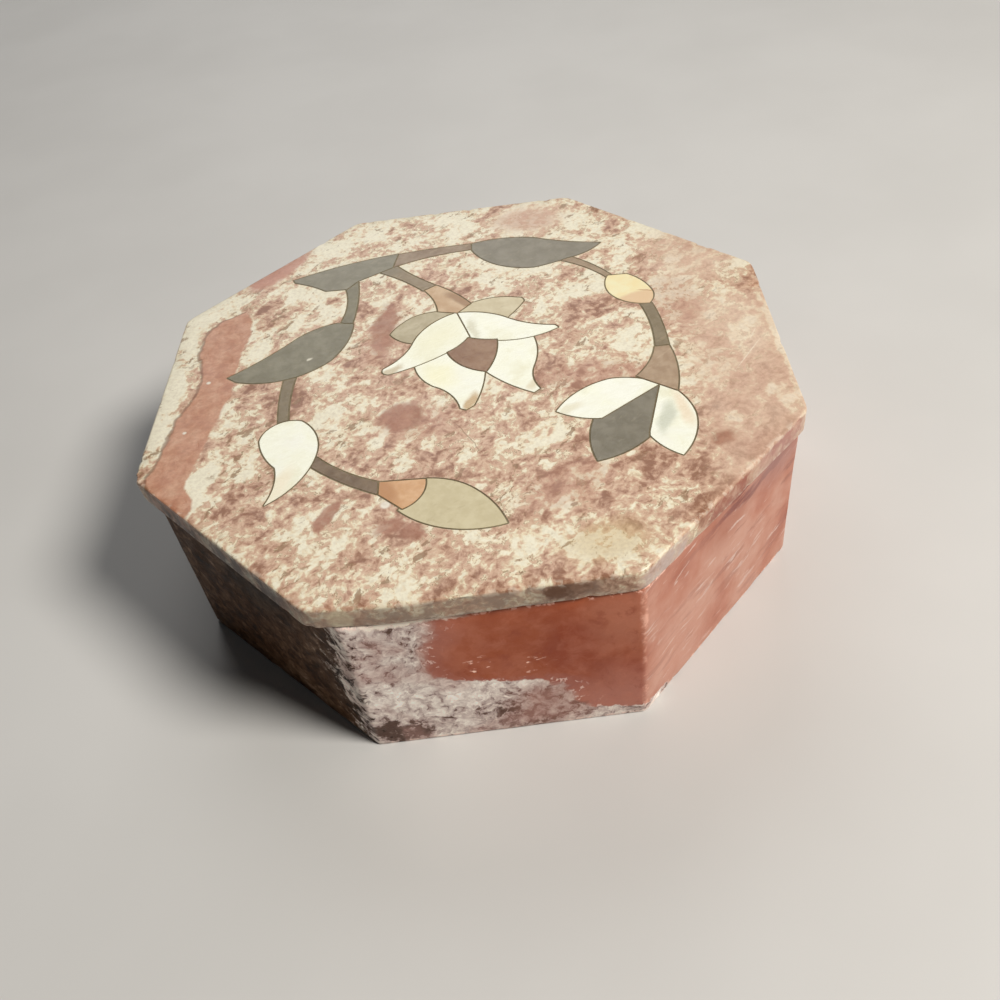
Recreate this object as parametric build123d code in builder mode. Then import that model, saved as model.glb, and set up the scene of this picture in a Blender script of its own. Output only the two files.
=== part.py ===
from build123d import *
import math
import os

os.makedirs("parts", exist_ok=True)

# Sizes in millimetres. The origin is the middle of the flat underside, +Z is up
# and the front side of the box faces -Y.

# Box body, hollowed from one block of soapstone
body_half_width = 62.2
body_height = 36.4
wall_thickness = 8.0
floor_thickness = 6.0
body_corner_radius = 2.0
body_arris_radius = 0.8
cavity_corner_radius = 5.0
cavity_floor_radius = 2.5
rim_inner_radius = 0.6

# Lid slab: a little wider than the body, each side off by what the hand cut left.
# The front was cut in two goes, which meet in a slight bow left of the middle.
lid_overhang = 1.3
front_side_cut = 0.1
front_right_side_cut = 0.7
right_side_cut = 0.6
back_right_side_cut = 0.2
back_side_cut = 0.8
back_left_side_cut = 1.4
left_side_cut = 1.3
front_left_side_cut = 1.0
front_bow_side_cut = 1.7
lid_thickness = 4.7
lid_corner_radius = 4.0
lid_top_arris_radius = 0.7
lid_under_arris_radius = 0.6

# Directions the sides of the lid face, in degrees from its own right side
front_side_direction = -87.1
front_right_side_direction = -45.0
right_side_direction = -0.6
back_right_side_direction = 43.8
back_side_direction = 90.8
back_left_side_direction = 134.4
left_side_direction = 180.4
front_left_side_direction = 225.1
front_bow_side_direction = 266.3

# The lid lies a little turned and off centre on the body
lid_turn = -2.42
lid_shift_right = -0.3
lid_shift_back = 0.8

# Locating step under the lid, loose in the cavity
step_height = 3.5
step_play = 2.6
step_corner_radius = 5.0
step_arris_radius = 0.8

# Inlay: stone and shell tiles let into one pocket and bedded in cement
tile_thickness = 1.8
bed_depth = 0.3
glue_line = 0.35
joint_recess = 0.08

# The tile outlines are drawn for a lid of this half width, and grow with the lid
drawn_lid_half_width = 63.5

# Sides of the lid, from the front one round by the right: distance from its middle, direction
lid_half_width = body_half_width + lid_overhang
lid_sides = [
    (lid_half_width + front_side_cut, front_side_direction),
    (lid_half_width + front_right_side_cut, front_right_side_direction),
    (lid_half_width + right_side_cut, right_side_direction),
    (lid_half_width + back_right_side_cut, back_right_side_direction),
    (lid_half_width + back_side_cut, back_side_direction),
    (lid_half_width + back_left_side_cut, back_left_side_direction),
    (lid_half_width + left_side_cut, left_side_direction),
    (lid_half_width + front_left_side_cut, front_left_side_direction),
    (lid_half_width + front_bow_side_cut, front_bow_side_direction),
]

# Regular octagons of the body, the cavity and the step, and what else follows
side_count = 8
corner_turn = 180 / side_count
spray_scale = lid_half_width / drawn_lid_half_width
cavity_half_width = body_half_width - wall_thickness
step_half_width = cavity_half_width - step_play

# Planes of the lid, all turned and shifted with it
lid_x_dir = (math.cos(math.radians(lid_turn)), math.sin(math.radians(lid_turn)), 0)
lid_seat = Plane(origin=(lid_shift_right, lid_shift_back, body_height), x_dir=lid_x_dir, z_dir=(0, 0, 1))
lid_top = lid_seat.offset(lid_thickness)
tile_underside = lid_top.offset(-tile_thickness)
pocket_floor = tile_underside.offset(-bed_depth)


# Box body: an octagonal block with worn arrises, hollowed to an octagonal cavity
with BuildPart() as box_body:
    with BuildSketch(Plane.XY):
        RegularPolygon(body_half_width, side_count, major_radius=False, rotation=corner_turn)
    extrude(amount=body_height)
    fillet(box_body.edges().filter_by(Axis.Z), body_corner_radius)
    fillet(box_body.faces().sort_by(Axis.Z)[0].edges(), body_arris_radius)
    fillet(box_body.faces().sort_by(Axis.Z)[-1].edges(), body_arris_radius)
    with BuildSketch(Plane.XY.offset(floor_thickness)):
        RegularPolygon(cavity_half_width, side_count, major_radius=False, rotation=corner_turn)
        fillet(vertices(), cavity_corner_radius)
    extrude(amount=body_height - floor_thickness, mode=Mode.SUBTRACT)
    cavity_floor = box_body.faces().filter_by(Plane.XY).sort_by(Axis.Z)[1]
    fillet(cavity_floor.edges(), cavity_floor_radius)
    rim = box_body.faces().filter_by(Plane.XY).sort_by(Axis.Z)[-1]
    fillet(rim.inner_wires()[0].edges(), rim_inner_radius)
box_body.part.label = "box_body"
export_step(box_body.part, "parts/box_body.step")


# Branch leaf: the dark leaf at the back left, cut first
with BuildSketch(Plane.XY) as branch_leaf_plan:
    with BuildLine():
        ThreePointArc((-41.0, 39.3), (-29.5, 43.3), (-16.2, 45.9))
        Line((-16.2, 45.9), (-17.3, 40.0))
        Line((-17.3, 40.0), (-25.3, 35.7))
        Line((-25.3, 35.7), (-27.7, 32.7))
        Line((-27.7, 32.7), (-32.7, 33.0))
        ThreePointArc((-32.7, 33.0), (-36.0, 35.6), (-40.4, 38.0))
        Line((-40.4, 38.0), (-41.0, 39.3))
    make_face()
    scale(by=spray_scale)
with BuildPart() as branch_leaf:
    with BuildSketch(tile_underside):
        add(branch_leaf_plan.sketch)
    extrude(amount=tile_thickness)
branch_leaf.part.label = "branch_leaf"
export_step(branch_leaf.part, "parts/branch_leaf.step")


# Top leaf: the dark leaf at the back, cut first
with BuildSketch(Plane.XY) as top_leaf_plan:
    with BuildLine():
        Line((1.9, 43.6), (1.9, 46.7))
        ThreePointArc((1.9, 46.7), (9.5, 47.5), (16.7, 46.2))
        ThreePointArc((16.7, 46.2), (23.3, 43.1), (32.1, 40.5))
        ThreePointArc((32.1, 40.5), (28.3, 37.1), (24.0, 35.5))
        ThreePointArc((24.0, 35.5), (20.0, 34.0), (16.0, 33.1))
        ThreePointArc((16.0, 33.1), (8.2, 35.7), (1.9, 43.6))
    make_face()
    scale(by=spray_scale)
with BuildPart() as top_leaf:
    with BuildSketch(tile_underside):
        add(top_leaf_plan.sketch)
    extrude(amount=tile_thickness)
top_leaf.part.label = "top_leaf"
export_step(top_leaf.part, "parts/top_leaf.step")


# Branch stem: the brown band between the two leaves, ground to fit both
with BuildSketch(Plane.XY) as branch_stem_plan:
    with BuildLine():
        ThreePointArc((-18.0, 45.4), (-8.0, 46.4), (3.5, 46.6))
        Line((3.5, 46.6), (3.5, 44.1))
        ThreePointArc((3.5, 44.1), (-7.5, 43.1), (-18.0, 39.8))
        Line((-18.0, 39.8), (-18.0, 45.4))
    make_face()
    scale(by=spray_scale)
    offset(branch_leaf_plan.faces(), amount=glue_line, mode=Mode.SUBTRACT)
    offset(top_leaf_plan.faces(), amount=glue_line, mode=Mode.SUBTRACT)
with BuildPart() as branch_stem:
    with BuildSketch(tile_underside):
        add(branch_stem_plan.sketch)
    extrude(amount=tile_thickness)
branch_stem.part.label = "branch_stem"
export_step(branch_stem.part, "parts/branch_stem.step")


# Left leaf: the large dark leaf at the left
with BuildSketch(Plane.XY) as left_leaf_plan:
    with BuildLine():
        ThreePointArc((-51.0, 3.0), (-45.0, 7.4), (-38.0, 14.0))
        ThreePointArc((-38.0, 14.0), (-34.0, 17.2), (-28.7, 19.0))
        Line((-28.7, 19.0), (-25.1, 18.0))
        ThreePointArc((-25.1, 18.0), (-25.9, 11.7), (-29.0, 5.3))
        ThreePointArc((-29.0, 5.3), (-32.2, 2.7), (-36.0, 0.8))
        ThreePointArc((-36.0, 0.8), (-42.3, -0.1), (-49.0, 1.3))
        Line((-49.0, 1.3), (-51.0, 3.0))
    make_face()
    scale(by=spray_scale)
with BuildPart() as left_leaf:
    with BuildSketch(tile_underside):
        add(left_leaf_plan.sketch)
    extrude(amount=tile_thickness)
left_leaf.part.label = "left_leaf"
export_step(left_leaf.part, "parts/left_leaf.step")


# Left stem: joins the branch leaf to the left leaf
with BuildSketch(Plane.XY) as left_stem_plan:
    with BuildLine():
        ThreePointArc((-28.0, 33.4), (-26.9, 27.3), (-28.2, 18.0))
        Line((-28.2, 18.0), (-25.5, 17.0))
        ThreePointArc((-25.5, 17.0), (-24.7, 26.7), (-25.3, 36.2))
        Line((-25.3, 36.2), (-28.0, 33.4))
    make_face()
    scale(by=spray_scale)
    offset(branch_leaf_plan.faces(), amount=glue_line, mode=Mode.SUBTRACT)
    offset(left_leaf_plan.faces(), amount=glue_line, mode=Mode.SUBTRACT)
with BuildPart() as left_stem:
    with BuildSketch(tile_underside):
        add(left_stem_plan.sketch)
    extrude(amount=tile_thickness)
left_stem.part.label = "left_stem"
export_step(left_stem.part, "parts/left_stem.step")


# White bud: a drop of shell at the front left
with BuildSketch(Plane.XY) as white_bud_plan:
    with BuildLine():
        ThreePointArc((-37.8, -14.4), (-35.3, -13.8), (-33.0, -14.3))
        ThreePointArc((-33.0, -14.3), (-30.1, -18.1), (-29.0, -23.7))
        ThreePointArc((-29.0, -23.7), (-31.1, -30.8), (-37.4, -37.4))
        ThreePointArc((-37.4, -37.4), (-36.2, -32.4), (-36.7, -27.4))
        ThreePointArc((-36.7, -27.4), (-39.5, -23.4), (-40.9, -19.2))
        ThreePointArc((-40.9, -19.2), (-39.9, -16.2), (-37.8, -14.4))
    make_face()
    scale(by=spray_scale)
with BuildPart() as white_bud:
    with BuildSketch(tile_underside):
        add(white_bud_plan.sketch)
    extrude(amount=tile_thickness)
white_bud.part.label = "white_bud"
export_step(white_bud.part, "parts/white_bud.step")


# Bud stem: joins the left leaf to the white bud
with BuildSketch(Plane.XY) as bud_stem_plan:
    with BuildLine():
        ThreePointArc((-38.3, 1.4), (-38.5, -5.0), (-37.6, -15.5))
        Line((-37.6, -15.5), (-35.6, -15.5))
        ThreePointArc((-35.6, -15.5), (-36.4, -6.0), (-35.8, 2.0))
        Line((-35.8, 2.0), (-38.3, 1.4))
    make_face()
    scale(by=spray_scale)
    offset(left_leaf_plan.faces(), amount=glue_line, mode=Mode.SUBTRACT)
    offset(white_bud_plan.faces(), amount=glue_line, mode=Mode.SUBTRACT)
with BuildPart() as bud_stem:
    with BuildSketch(tile_underside):
        add(bud_stem_plan.sketch)
    extrude(amount=tile_thickness)
bud_stem.part.label = "bud_stem"
export_step(bud_stem.part, "parts/bud_stem.step")


# Lower calyx: the orange cup near the front edge
with BuildSketch(Plane.XY) as lower_calyx_plan:
    with BuildLine():
        Line((-16.2, -34.4), (-7.7, -34.8))
        ThreePointArc((-7.7, -34.8), (-8.6, -39.2), (-11.7, -41.9))
        Line((-11.7, -41.9), (-16.2, -37.6))
        Line((-16.2, -37.6), (-16.2, -34.4))
    make_face()
    scale(by=spray_scale)
with BuildPart() as lower_calyx:
    with BuildSketch(tile_underside):
        add(lower_calyx_plan.sketch)
    extrude(amount=tile_thickness)
lower_calyx.part.label = "lower_calyx"
export_step(lower_calyx.part, "parts/lower_calyx.step")


# Lower stem: joins the white bud to the lower calyx
with BuildSketch(Plane.XY) as lower_stem_plan:
    with BuildLine():
        ThreePointArc((-30.5, -23.8), (-24.3, -29.8), (-15.0, -34.9))
        Line((-15.0, -34.9), (-15.0, -38.2))
        ThreePointArc((-15.0, -38.2), (-23.9, -33.0), (-31.0, -26.9))
        Line((-31.0, -26.9), (-30.5, -23.8))
    make_face()
    scale(by=spray_scale)
    offset(white_bud_plan.faces(), amount=glue_line, mode=Mode.SUBTRACT)
    offset(lower_calyx_plan.faces(), amount=glue_line, mode=Mode.SUBTRACT)
with BuildPart() as lower_stem:
    with BuildSketch(tile_underside):
        add(lower_stem_plan.sketch)
    extrude(amount=tile_thickness)
lower_stem.part.label = "lower_stem"
export_step(lower_stem.part, "parts/lower_stem.step")


# Lower leaf: the sage green leaf at the front, ground to fit the calyx
with BuildSketch(Plane.XY) as lower_leaf_plan:
    with BuildLine():
        ThreePointArc((-9.0, -34.7), (-4.2, -35.4), (0.4, -37.9))
        ThreePointArc((0.4, -37.9), (4.4, -42.5), (6.9, -48.0))
        ThreePointArc((6.9, -48.0), (-3.0, -47.9), (-12.4, -42.2))
        Line((-12.4, -42.2), (-9.0, -34.7))
    make_face()
    scale(by=spray_scale)
    offset(lower_calyx_plan.faces(), amount=glue_line, mode=Mode.SUBTRACT)
with BuildPart() as lower_leaf:
    with BuildSketch(tile_underside):
        add(lower_leaf_plan.sketch)
    extrude(amount=tile_thickness)
lower_leaf.part.label = "lower_leaf"
export_step(lower_leaf.part, "parts/lower_leaf.step")


# Flower calyx: the orange-brown cup above the large flower
with BuildSketch(Plane.XY) as flower_calyx_plan:
    with BuildLine():
        ThreePointArc((-9.2, 28.3), (-7.0, 23.9), (-6.0, 19.2))
        Line((-6.0, 19.2), (-1.8, 17.9))
        Line((-1.8, 17.9), (1.2, 21.0))
        ThreePointArc((1.2, 21.0), (-1.7, 25.0), (-6.6, 29.9))
        Line((-6.6, 29.9), (-9.2, 28.3))
    make_face()
    scale(by=spray_scale)
with BuildPart() as flower_calyx:
    with BuildSketch(tile_underside):
        add(flower_calyx_plan.sketch)
    extrude(amount=tile_thickness)
flower_calyx.part.label = "flower_calyx"
export_step(flower_calyx.part, "parts/flower_calyx.step")


# Flower stem: runs from the branch down to the flower calyx
with BuildSketch(Plane.XY) as flower_stem_plan:
    with BuildLine():
        ThreePointArc((-16.6, 40.9), (-11.9, 35.0), (-5.9, 29.3))
        Line((-5.9, 29.3), (-8.6, 27.0))
        ThreePointArc((-8.6, 27.0), (-13.4, 32.6), (-20.6, 38.6))
        Line((-20.6, 38.6), (-16.6, 40.9))
    make_face()
    scale(by=spray_scale)
    offset(branch_leaf_plan.faces(), amount=glue_line, mode=Mode.SUBTRACT)
    offset(branch_stem_plan.faces(), amount=glue_line, mode=Mode.SUBTRACT)
    offset(flower_calyx_plan.faces(), amount=glue_line, mode=Mode.SUBTRACT)
with BuildPart() as flower_stem:
    with BuildSketch(tile_underside):
        add(flower_stem_plan.sketch)
    extrude(amount=tile_thickness)
flower_stem.part.label = "flower_stem"
export_step(flower_stem.part, "parts/flower_stem.step")


# Flower centre: the dark red stone that the four petals meet
with BuildSketch(Plane.XY) as flower_centre_plan:
    with BuildLine():
        ThreePointArc((0.6, 7.9), (3.6, 6.7), (6.6, 6.2))
        ThreePointArc((6.6, 6.2), (6.1, 0.5), (4.2, -4.4))
        ThreePointArc((4.2, -4.4), (-0.6, -1.6), (-3.8, 3.5))
        ThreePointArc((-3.8, 3.5), (-1.4, 5.3), (0.6, 7.9))
    make_face()
    scale(by=spray_scale)
with BuildPart() as flower_centre:
    with BuildSketch(tile_underside):
        add(flower_centre_plan.sketch)
    extrude(amount=tile_thickness)
flower_centre.part.label = "flower_centre"
export_step(flower_centre.part, "parts/flower_centre.step")


# Left petal: the long shell petal down the left of the flower
with BuildSketch(Plane.XY) as flower_petal_left_plan:
    with BuildLine():
        ThreePointArc((-2.0, 17.8), (-7.6, 14.3), (-11.2, 8.4))
        ThreePointArc((-11.2, 8.4), (-13.4, 3.7), (-17.2, 0.1))
        ThreePointArc((-17.2, 0.1), (-17.3, -1.2), (-16.0, -1.9))
        ThreePointArc((-16.0, -1.9), (-9.6, 0.4), (-3.9, 3.6))
        Line((-3.9, 3.6), (-0.4, 4.6))
        Line((-0.4, 4.6), (0.8, 8.3))
        ThreePointArc((0.8, 8.3), (-0.4, 12.4), (-2.0, 17.8))
    make_face()
    scale(by=spray_scale)
    offset(flower_centre_plan.faces(), amount=glue_line, mode=Mode.SUBTRACT)
    offset(flower_calyx_plan.faces(), amount=glue_line, mode=Mode.SUBTRACT)
with BuildPart() as flower_petal_left:
    with BuildSketch(tile_underside):
        add(flower_petal_left_plan.sketch)
    extrude(amount=tile_thickness)
flower_petal_left.part.label = "flower_petal_left"
export_step(flower_petal_left.part, "parts/flower_petal_left.step")


# Right petal: the shell petal that points to the right
with BuildSketch(Plane.XY) as flower_petal_right_plan:
    with BuildLine():
        ThreePointArc((-2.0, 17.7), (3.4, 16.9), (8.6, 14.2))
        ThreePointArc((8.6, 14.2), (13.5, 10.9), (19.2, 9.1))
        Line((19.2, 9.1), (19.8, 8.2))
        ThreePointArc((19.8, 8.2), (13.2, 5.8), (6.6, 6.0))
        Line((6.6, 6.0), (1.6, 4.0))
        Line((1.6, 4.0), (-0.4, 9.0))
        Line((-0.4, 9.0), (-2.0, 17.7))
    make_face()
    scale(by=spray_scale)
    offset(flower_centre_plan.faces(), amount=glue_line, mode=Mode.SUBTRACT)
    offset(flower_petal_left_plan.faces(), amount=glue_line, mode=Mode.SUBTRACT)
    offset(flower_calyx_plan.faces(), amount=glue_line, mode=Mode.SUBTRACT)
with BuildPart() as flower_petal_right:
    with BuildSketch(tile_underside):
        add(flower_petal_right_plan.sketch)
    extrude(amount=tile_thickness)
flower_petal_right.part.label = "flower_petal_right"
export_step(flower_petal_right.part, "parts/flower_petal_right.step")


# Lower right petal: shell, between the centre and the right petal
with BuildSketch(Plane.XY) as flower_petal_lower_right_plan:
    with BuildLine():
        Line((5.0, 6.6), (14.2, 6.6))
        ThreePointArc((14.2, 6.6), (14.9, 1.2), (14.0, -4.0))
        ThreePointArc((14.0, -4.0), (13.5, -8.0), (14.7, -11.9))
        Line((14.7, -11.9), (13.5, -12.9))
        ThreePointArc((13.5, -12.9), (8.4, -9.1), (4.2, -4.5))
        Line((4.2, -4.5), (5.0, 6.6))
    make_face()
    scale(by=spray_scale)
    offset(flower_centre_plan.faces(), amount=glue_line, mode=Mode.SUBTRACT)
    offset(flower_petal_right_plan.faces(), amount=glue_line, mode=Mode.SUBTRACT)
with BuildPart() as flower_petal_lower_right:
    with BuildSketch(tile_underside):
        add(flower_petal_lower_right_plan.sketch)
    extrude(amount=tile_thickness)
flower_petal_lower_right.part.label = "flower_petal_lower_right"
export_step(flower_petal_lower_right.part, "parts/flower_petal_lower_right.step")


# Lower left petal: the creamier shell petal that points to the front
with BuildSketch(Plane.XY) as flower_petal_lower_left_plan:
    with BuildLine():
        ThreePointArc((-10.7, 0.6), (-9.6, -3.6), (-6.6, -7.5))
        ThreePointArc((-6.6, -7.5), (-3.0, -10.8), (-1.1, -15.5))
        Line((-1.1, -15.5), (0.0, -16.1))
        Line((0.0, -16.1), (1.5, -15.0))
        ThreePointArc((1.5, -15.0), (3.1, -10.0), (3.9, -4.0))
        Line((3.9, -4.0), (-1.0, 4.6))
        Line((-1.0, 4.6), (-4.5, 4.0))
        Line((-4.5, 4.0), (-10.7, 0.6))
    make_face()
    scale(by=spray_scale)
    offset(flower_centre_plan.faces(), amount=glue_line, mode=Mode.SUBTRACT)
    offset(flower_petal_left_plan.faces(), amount=glue_line, mode=Mode.SUBTRACT)
    offset(flower_petal_lower_right_plan.faces(), amount=glue_line, mode=Mode.SUBTRACT)
with BuildPart() as flower_petal_lower_left:
    with BuildSketch(tile_underside):
        add(flower_petal_lower_left_plan.sketch)
    extrude(amount=tile_thickness)
flower_petal_lower_left.part.label = "flower_petal_lower_left"
export_step(flower_petal_lower_left.part, "parts/flower_petal_lower_left.step")


# Left sepal: grey-green, laid against the left petal and the calyx
with BuildSketch(Plane.XY) as flower_sepal_left_plan:
    with BuildLine():
        ThreePointArc((-2.2, 17.9), (-7.2, 19.1), (-12.0, 17.7))
        ThreePointArc((-12.0, 17.7), (-14.6, 15.2), (-16.4, 12.3))
        ThreePointArc((-16.4, 12.3), (-14.4, 9.8), (-11.1, 8.0))
        Line((-11.1, 8.0), (-9.0, 10.5))
        Line((-9.0, 10.5), (-2.2, 17.0))
        Line((-2.2, 17.0), (-2.2, 17.9))
    make_face()
    scale(by=spray_scale)
    offset(flower_petal_left_plan.faces(), amount=glue_line, mode=Mode.SUBTRACT)
    offset(flower_calyx_plan.faces(), amount=glue_line, mode=Mode.SUBTRACT)
with BuildPart() as flower_sepal_left:
    with BuildSketch(tile_underside):
        add(flower_sepal_left_plan.sketch)
    extrude(amount=tile_thickness)
flower_sepal_left.part.label = "flower_sepal_left"
export_step(flower_sepal_left.part, "parts/flower_sepal_left.step")


# Right sepal: grey-green, laid against the right petal and the calyx
with BuildSketch(Plane.XY) as flower_sepal_right_plan:
    with BuildLine():
        Line((-1.8, 17.7), (0.3, 20.4))
        ThreePointArc((0.3, 20.4), (5.6, 22.1), (11.7, 21.2))
        ThreePointArc((11.7, 21.2), (12.8, 20.6), (13.0, 19.6))
        ThreePointArc((13.0, 19.6), (11.3, 16.8), (9.0, 13.8))
        Line((9.0, 13.8), (7.6, 12.6))
        Line((7.6, 12.6), (-1.2, 16.6))
        Line((-1.2, 16.6), (-1.8, 17.7))
    make_face()
    scale(by=spray_scale)
    offset(flower_petal_left_plan.faces(), amount=glue_line, mode=Mode.SUBTRACT)
    offset(flower_petal_right_plan.faces(), amount=glue_line, mode=Mode.SUBTRACT)
    offset(flower_calyx_plan.faces(), amount=glue_line, mode=Mode.SUBTRACT)
with BuildPart() as flower_sepal_right:
    with BuildSketch(tile_underside):
        add(flower_sepal_right_plan.sketch)
    extrude(amount=tile_thickness)
flower_sepal_right.part.label = "flower_sepal_right"
export_step(flower_sepal_right.part, "parts/flower_sepal_right.step")


# Orange bud: one pale amber stone at the right
with BuildSketch(Plane.XY) as orange_bud_plan:
    with BuildLine():
        Line((32.4, 25.9), (36.6, 25.7))
        ThreePointArc((36.6, 25.7), (39.3, 22.6), (41.2, 17.8))
        ThreePointArc((41.2, 17.8), (41.0, 15.4), (40.0, 13.5))
        ThreePointArc((40.0, 13.5), (35.4, 14.9), (32.0, 19.0))
        ThreePointArc((32.0, 19.0), (31.5, 22.4), (32.4, 25.9))
    make_face()
    scale(by=spray_scale)
with BuildPart() as orange_bud:
    with BuildSketch(tile_underside):
        add(orange_bud_plan.sketch)
    extrude(amount=tile_thickness)
orange_bud.part.label = "orange_bud"
export_step(orange_bud.part, "parts/orange_bud.step")


# Bud stalk: the thin stem from the top leaf to the orange bud
with BuildSketch(Plane.XY) as bud_stalk_plan:
    with BuildLine():
        ThreePointArc((21.8, 35.0), (27.0, 31.3), (32.4, 24.8))
        Line((32.4, 24.8), (33.6, 25.2))
        ThreePointArc((33.6, 25.2), (28.9, 31.8), (24.0, 36.3))
        Line((24.0, 36.3), (21.8, 35.0))
    make_face()
    scale(by=spray_scale)
    offset(top_leaf_plan.faces(), amount=glue_line, mode=Mode.SUBTRACT)
    offset(orange_bud_plan.faces(), amount=glue_line, mode=Mode.SUBTRACT)
with BuildPart() as bud_stalk:
    with BuildSketch(tile_underside):
        add(bud_stalk_plan.sketch)
    extrude(amount=tile_thickness)
bud_stalk.part.label = "bud_stalk"
export_step(bud_stalk.part, "parts/bud_stalk.step")


# Right calyx: the brown cup above the tulip
with BuildSketch(Plane.XY) as right_calyx_plan:
    with BuildLine():
        Line((38.8, -2.5), (41.7, -2.5))
        ThreePointArc((41.7, -2.5), (42.2, -10.0), (41.1, -17.0))
        Line((41.1, -17.0), (34.0, -11.4))
        ThreePointArc((34.0, -11.4), (37.1, -7.2), (38.8, -2.5))
    make_face()
    scale(by=spray_scale)
with BuildPart() as right_calyx:
    with BuildSketch(tile_underside):
        add(right_calyx_plan.sketch)
    extrude(amount=tile_thickness)
right_calyx.part.label = "right_calyx"
export_step(right_calyx.part, "parts/right_calyx.step")


# Right stem: joins the orange bud to the right calyx
with BuildSketch(Plane.XY) as right_stem_plan:
    with BuildLine():
        ThreePointArc((37.6, 15.0), (39.2, 6.0), (38.8, -3.6))
        Line((38.8, -3.6), (41.6, -3.6))
        ThreePointArc((41.6, -3.6), (41.4, 6.0), (40.1, 14.6))
        Line((40.1, 14.6), (37.6, 15.0))
    make_face()
    scale(by=spray_scale)
    offset(orange_bud_plan.faces(), amount=glue_line, mode=Mode.SUBTRACT)
    offset(right_calyx_plan.faces(), amount=glue_line, mode=Mode.SUBTRACT)
with BuildPart() as right_stem:
    with BuildSketch(tile_underside):
        add(right_stem_plan.sketch)
    extrude(amount=tile_thickness)
right_stem.part.label = "right_stem"
export_step(right_stem.part, "parts/right_stem.step")


# Left tulip petal: shell, under the right calyx
with BuildSketch(Plane.XY) as tulip_petal_left_plan:
    with BuildLine():
        ThreePointArc((17.5, -19.6), (22.3, -14.2), (28.6, -11.4))
        ThreePointArc((28.6, -11.4), (33.4, -12.0), (38.0, -14.5))
        Line((38.0, -14.5), (25.8, -22.9))
        ThreePointArc((25.8, -22.9), (21.4, -21.9), (17.5, -19.6))
    make_face()
    scale(by=spray_scale)
    offset(right_calyx_plan.faces(), amount=glue_line, mode=Mode.SUBTRACT)
with BuildPart() as tulip_petal_left:
    with BuildSketch(tile_underside):
        add(tulip_petal_left_plan.sketch)
    extrude(amount=tile_thickness)
tulip_petal_left.part.label = "tulip_petal_left"
export_step(tulip_petal_left.part, "parts/tulip_petal_left.step")


# Dark tulip petal: stone, between the two shell petals
with BuildSketch(Plane.XY) as tulip_petal_dark_plan:
    with BuildLine():
        Line((37.9, -14.3), (34.0, -28.2))
        Line((34.0, -28.2), (33.8, -29.7))
        ThreePointArc((33.8, -29.7), (29.4, -32.9), (23.9, -34.7))
        ThreePointArc((23.9, -34.7), (23.2, -28.6), (24.6, -22.4))
        Line((24.6, -22.4), (26.0, -20.5))
        Line((26.0, -20.5), (37.9, -14.3))
    make_face()
    scale(by=spray_scale)
    offset(tulip_petal_left_plan.faces(), amount=glue_line, mode=Mode.SUBTRACT)
    offset(right_calyx_plan.faces(), amount=glue_line, mode=Mode.SUBTRACT)
with BuildPart() as tulip_petal_dark:
    with BuildSketch(tile_underside):
        add(tulip_petal_dark_plan.sketch)
    extrude(amount=tile_thickness)
tulip_petal_dark.part.label = "tulip_petal_dark"
export_step(tulip_petal_dark.part, "parts/tulip_petal_dark.step")


# Right tulip petal: shell, laid last against the calyx and the dark petal
with BuildSketch(Plane.XY) as tulip_petal_right_plan:
    with BuildLine():
        ThreePointArc((38.4, -14.0), (42.1, -19.4), (43.3, -24.2))
        ThreePointArc((43.3, -24.2), (42.3, -30.2), (39.2, -35.4))
        ThreePointArc((39.2, -35.4), (36.1, -32.5), (34.0, -28.9))
        Line((34.0, -28.9), (33.4, -27.0))
        Line((33.4, -27.0), (37.0, -15.5))
        Line((37.0, -15.5), (38.4, -14.0))
    make_face()
    scale(by=spray_scale)
    offset(right_calyx_plan.faces(), amount=glue_line, mode=Mode.SUBTRACT)
    offset(tulip_petal_dark_plan.faces(), amount=glue_line, mode=Mode.SUBTRACT)
    offset(tulip_petal_left_plan.faces(), amount=glue_line, mode=Mode.SUBTRACT)
with BuildPart() as tulip_petal_right:
    with BuildSketch(tile_underside):
        add(tulip_petal_right_plan.sketch)
    extrude(amount=tile_thickness)
tulip_petal_right.part.label = "tulip_petal_right"
export_step(tulip_petal_right.part, "parts/tulip_petal_right.step")


# The inlay as a whole: the tiles side by side, and the pocket one glue line larger
tile_plans = [
    branch_leaf_plan,
    top_leaf_plan,
    branch_stem_plan,
    left_leaf_plan,
    left_stem_plan,
    white_bud_plan,
    bud_stem_plan,
    lower_calyx_plan,
    lower_stem_plan,
    lower_leaf_plan,
    flower_calyx_plan,
    flower_stem_plan,
    flower_centre_plan,
    flower_petal_left_plan,
    flower_petal_right_plan,
    flower_petal_lower_right_plan,
    flower_petal_lower_left_plan,
    flower_sepal_left_plan,
    flower_sepal_right_plan,
    orange_bud_plan,
    bud_stalk_plan,
    right_calyx_plan,
    right_stem_plan,
    tulip_petal_left_plan,
    tulip_petal_dark_plan,
    tulip_petal_right_plan,
]
with BuildSketch(Plane.XY) as tiles_plan:
    for plan in tile_plans:
        add(plan.sketch)
with BuildSketch(Plane.XY) as pocket_plan:
    for plan in tile_plans:
        offset(plan.faces(), amount=glue_line, mode=Mode.ADD)


# Inlay cement: the bed under the tiles and the joints between them
with BuildPart() as inlay_cement:
    with BuildSketch(pocket_floor):
        add(pocket_plan.sketch)
    extrude(amount=bed_depth + tile_thickness - joint_recess)
    with BuildSketch(tile_underside):
        add(tiles_plan.sketch)
    extrude(amount=tile_thickness, mode=Mode.SUBTRACT)
inlay_cement.part.label = "inlay_cement"
export_step(inlay_cement.part, "parts/inlay_cement.step")


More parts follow.
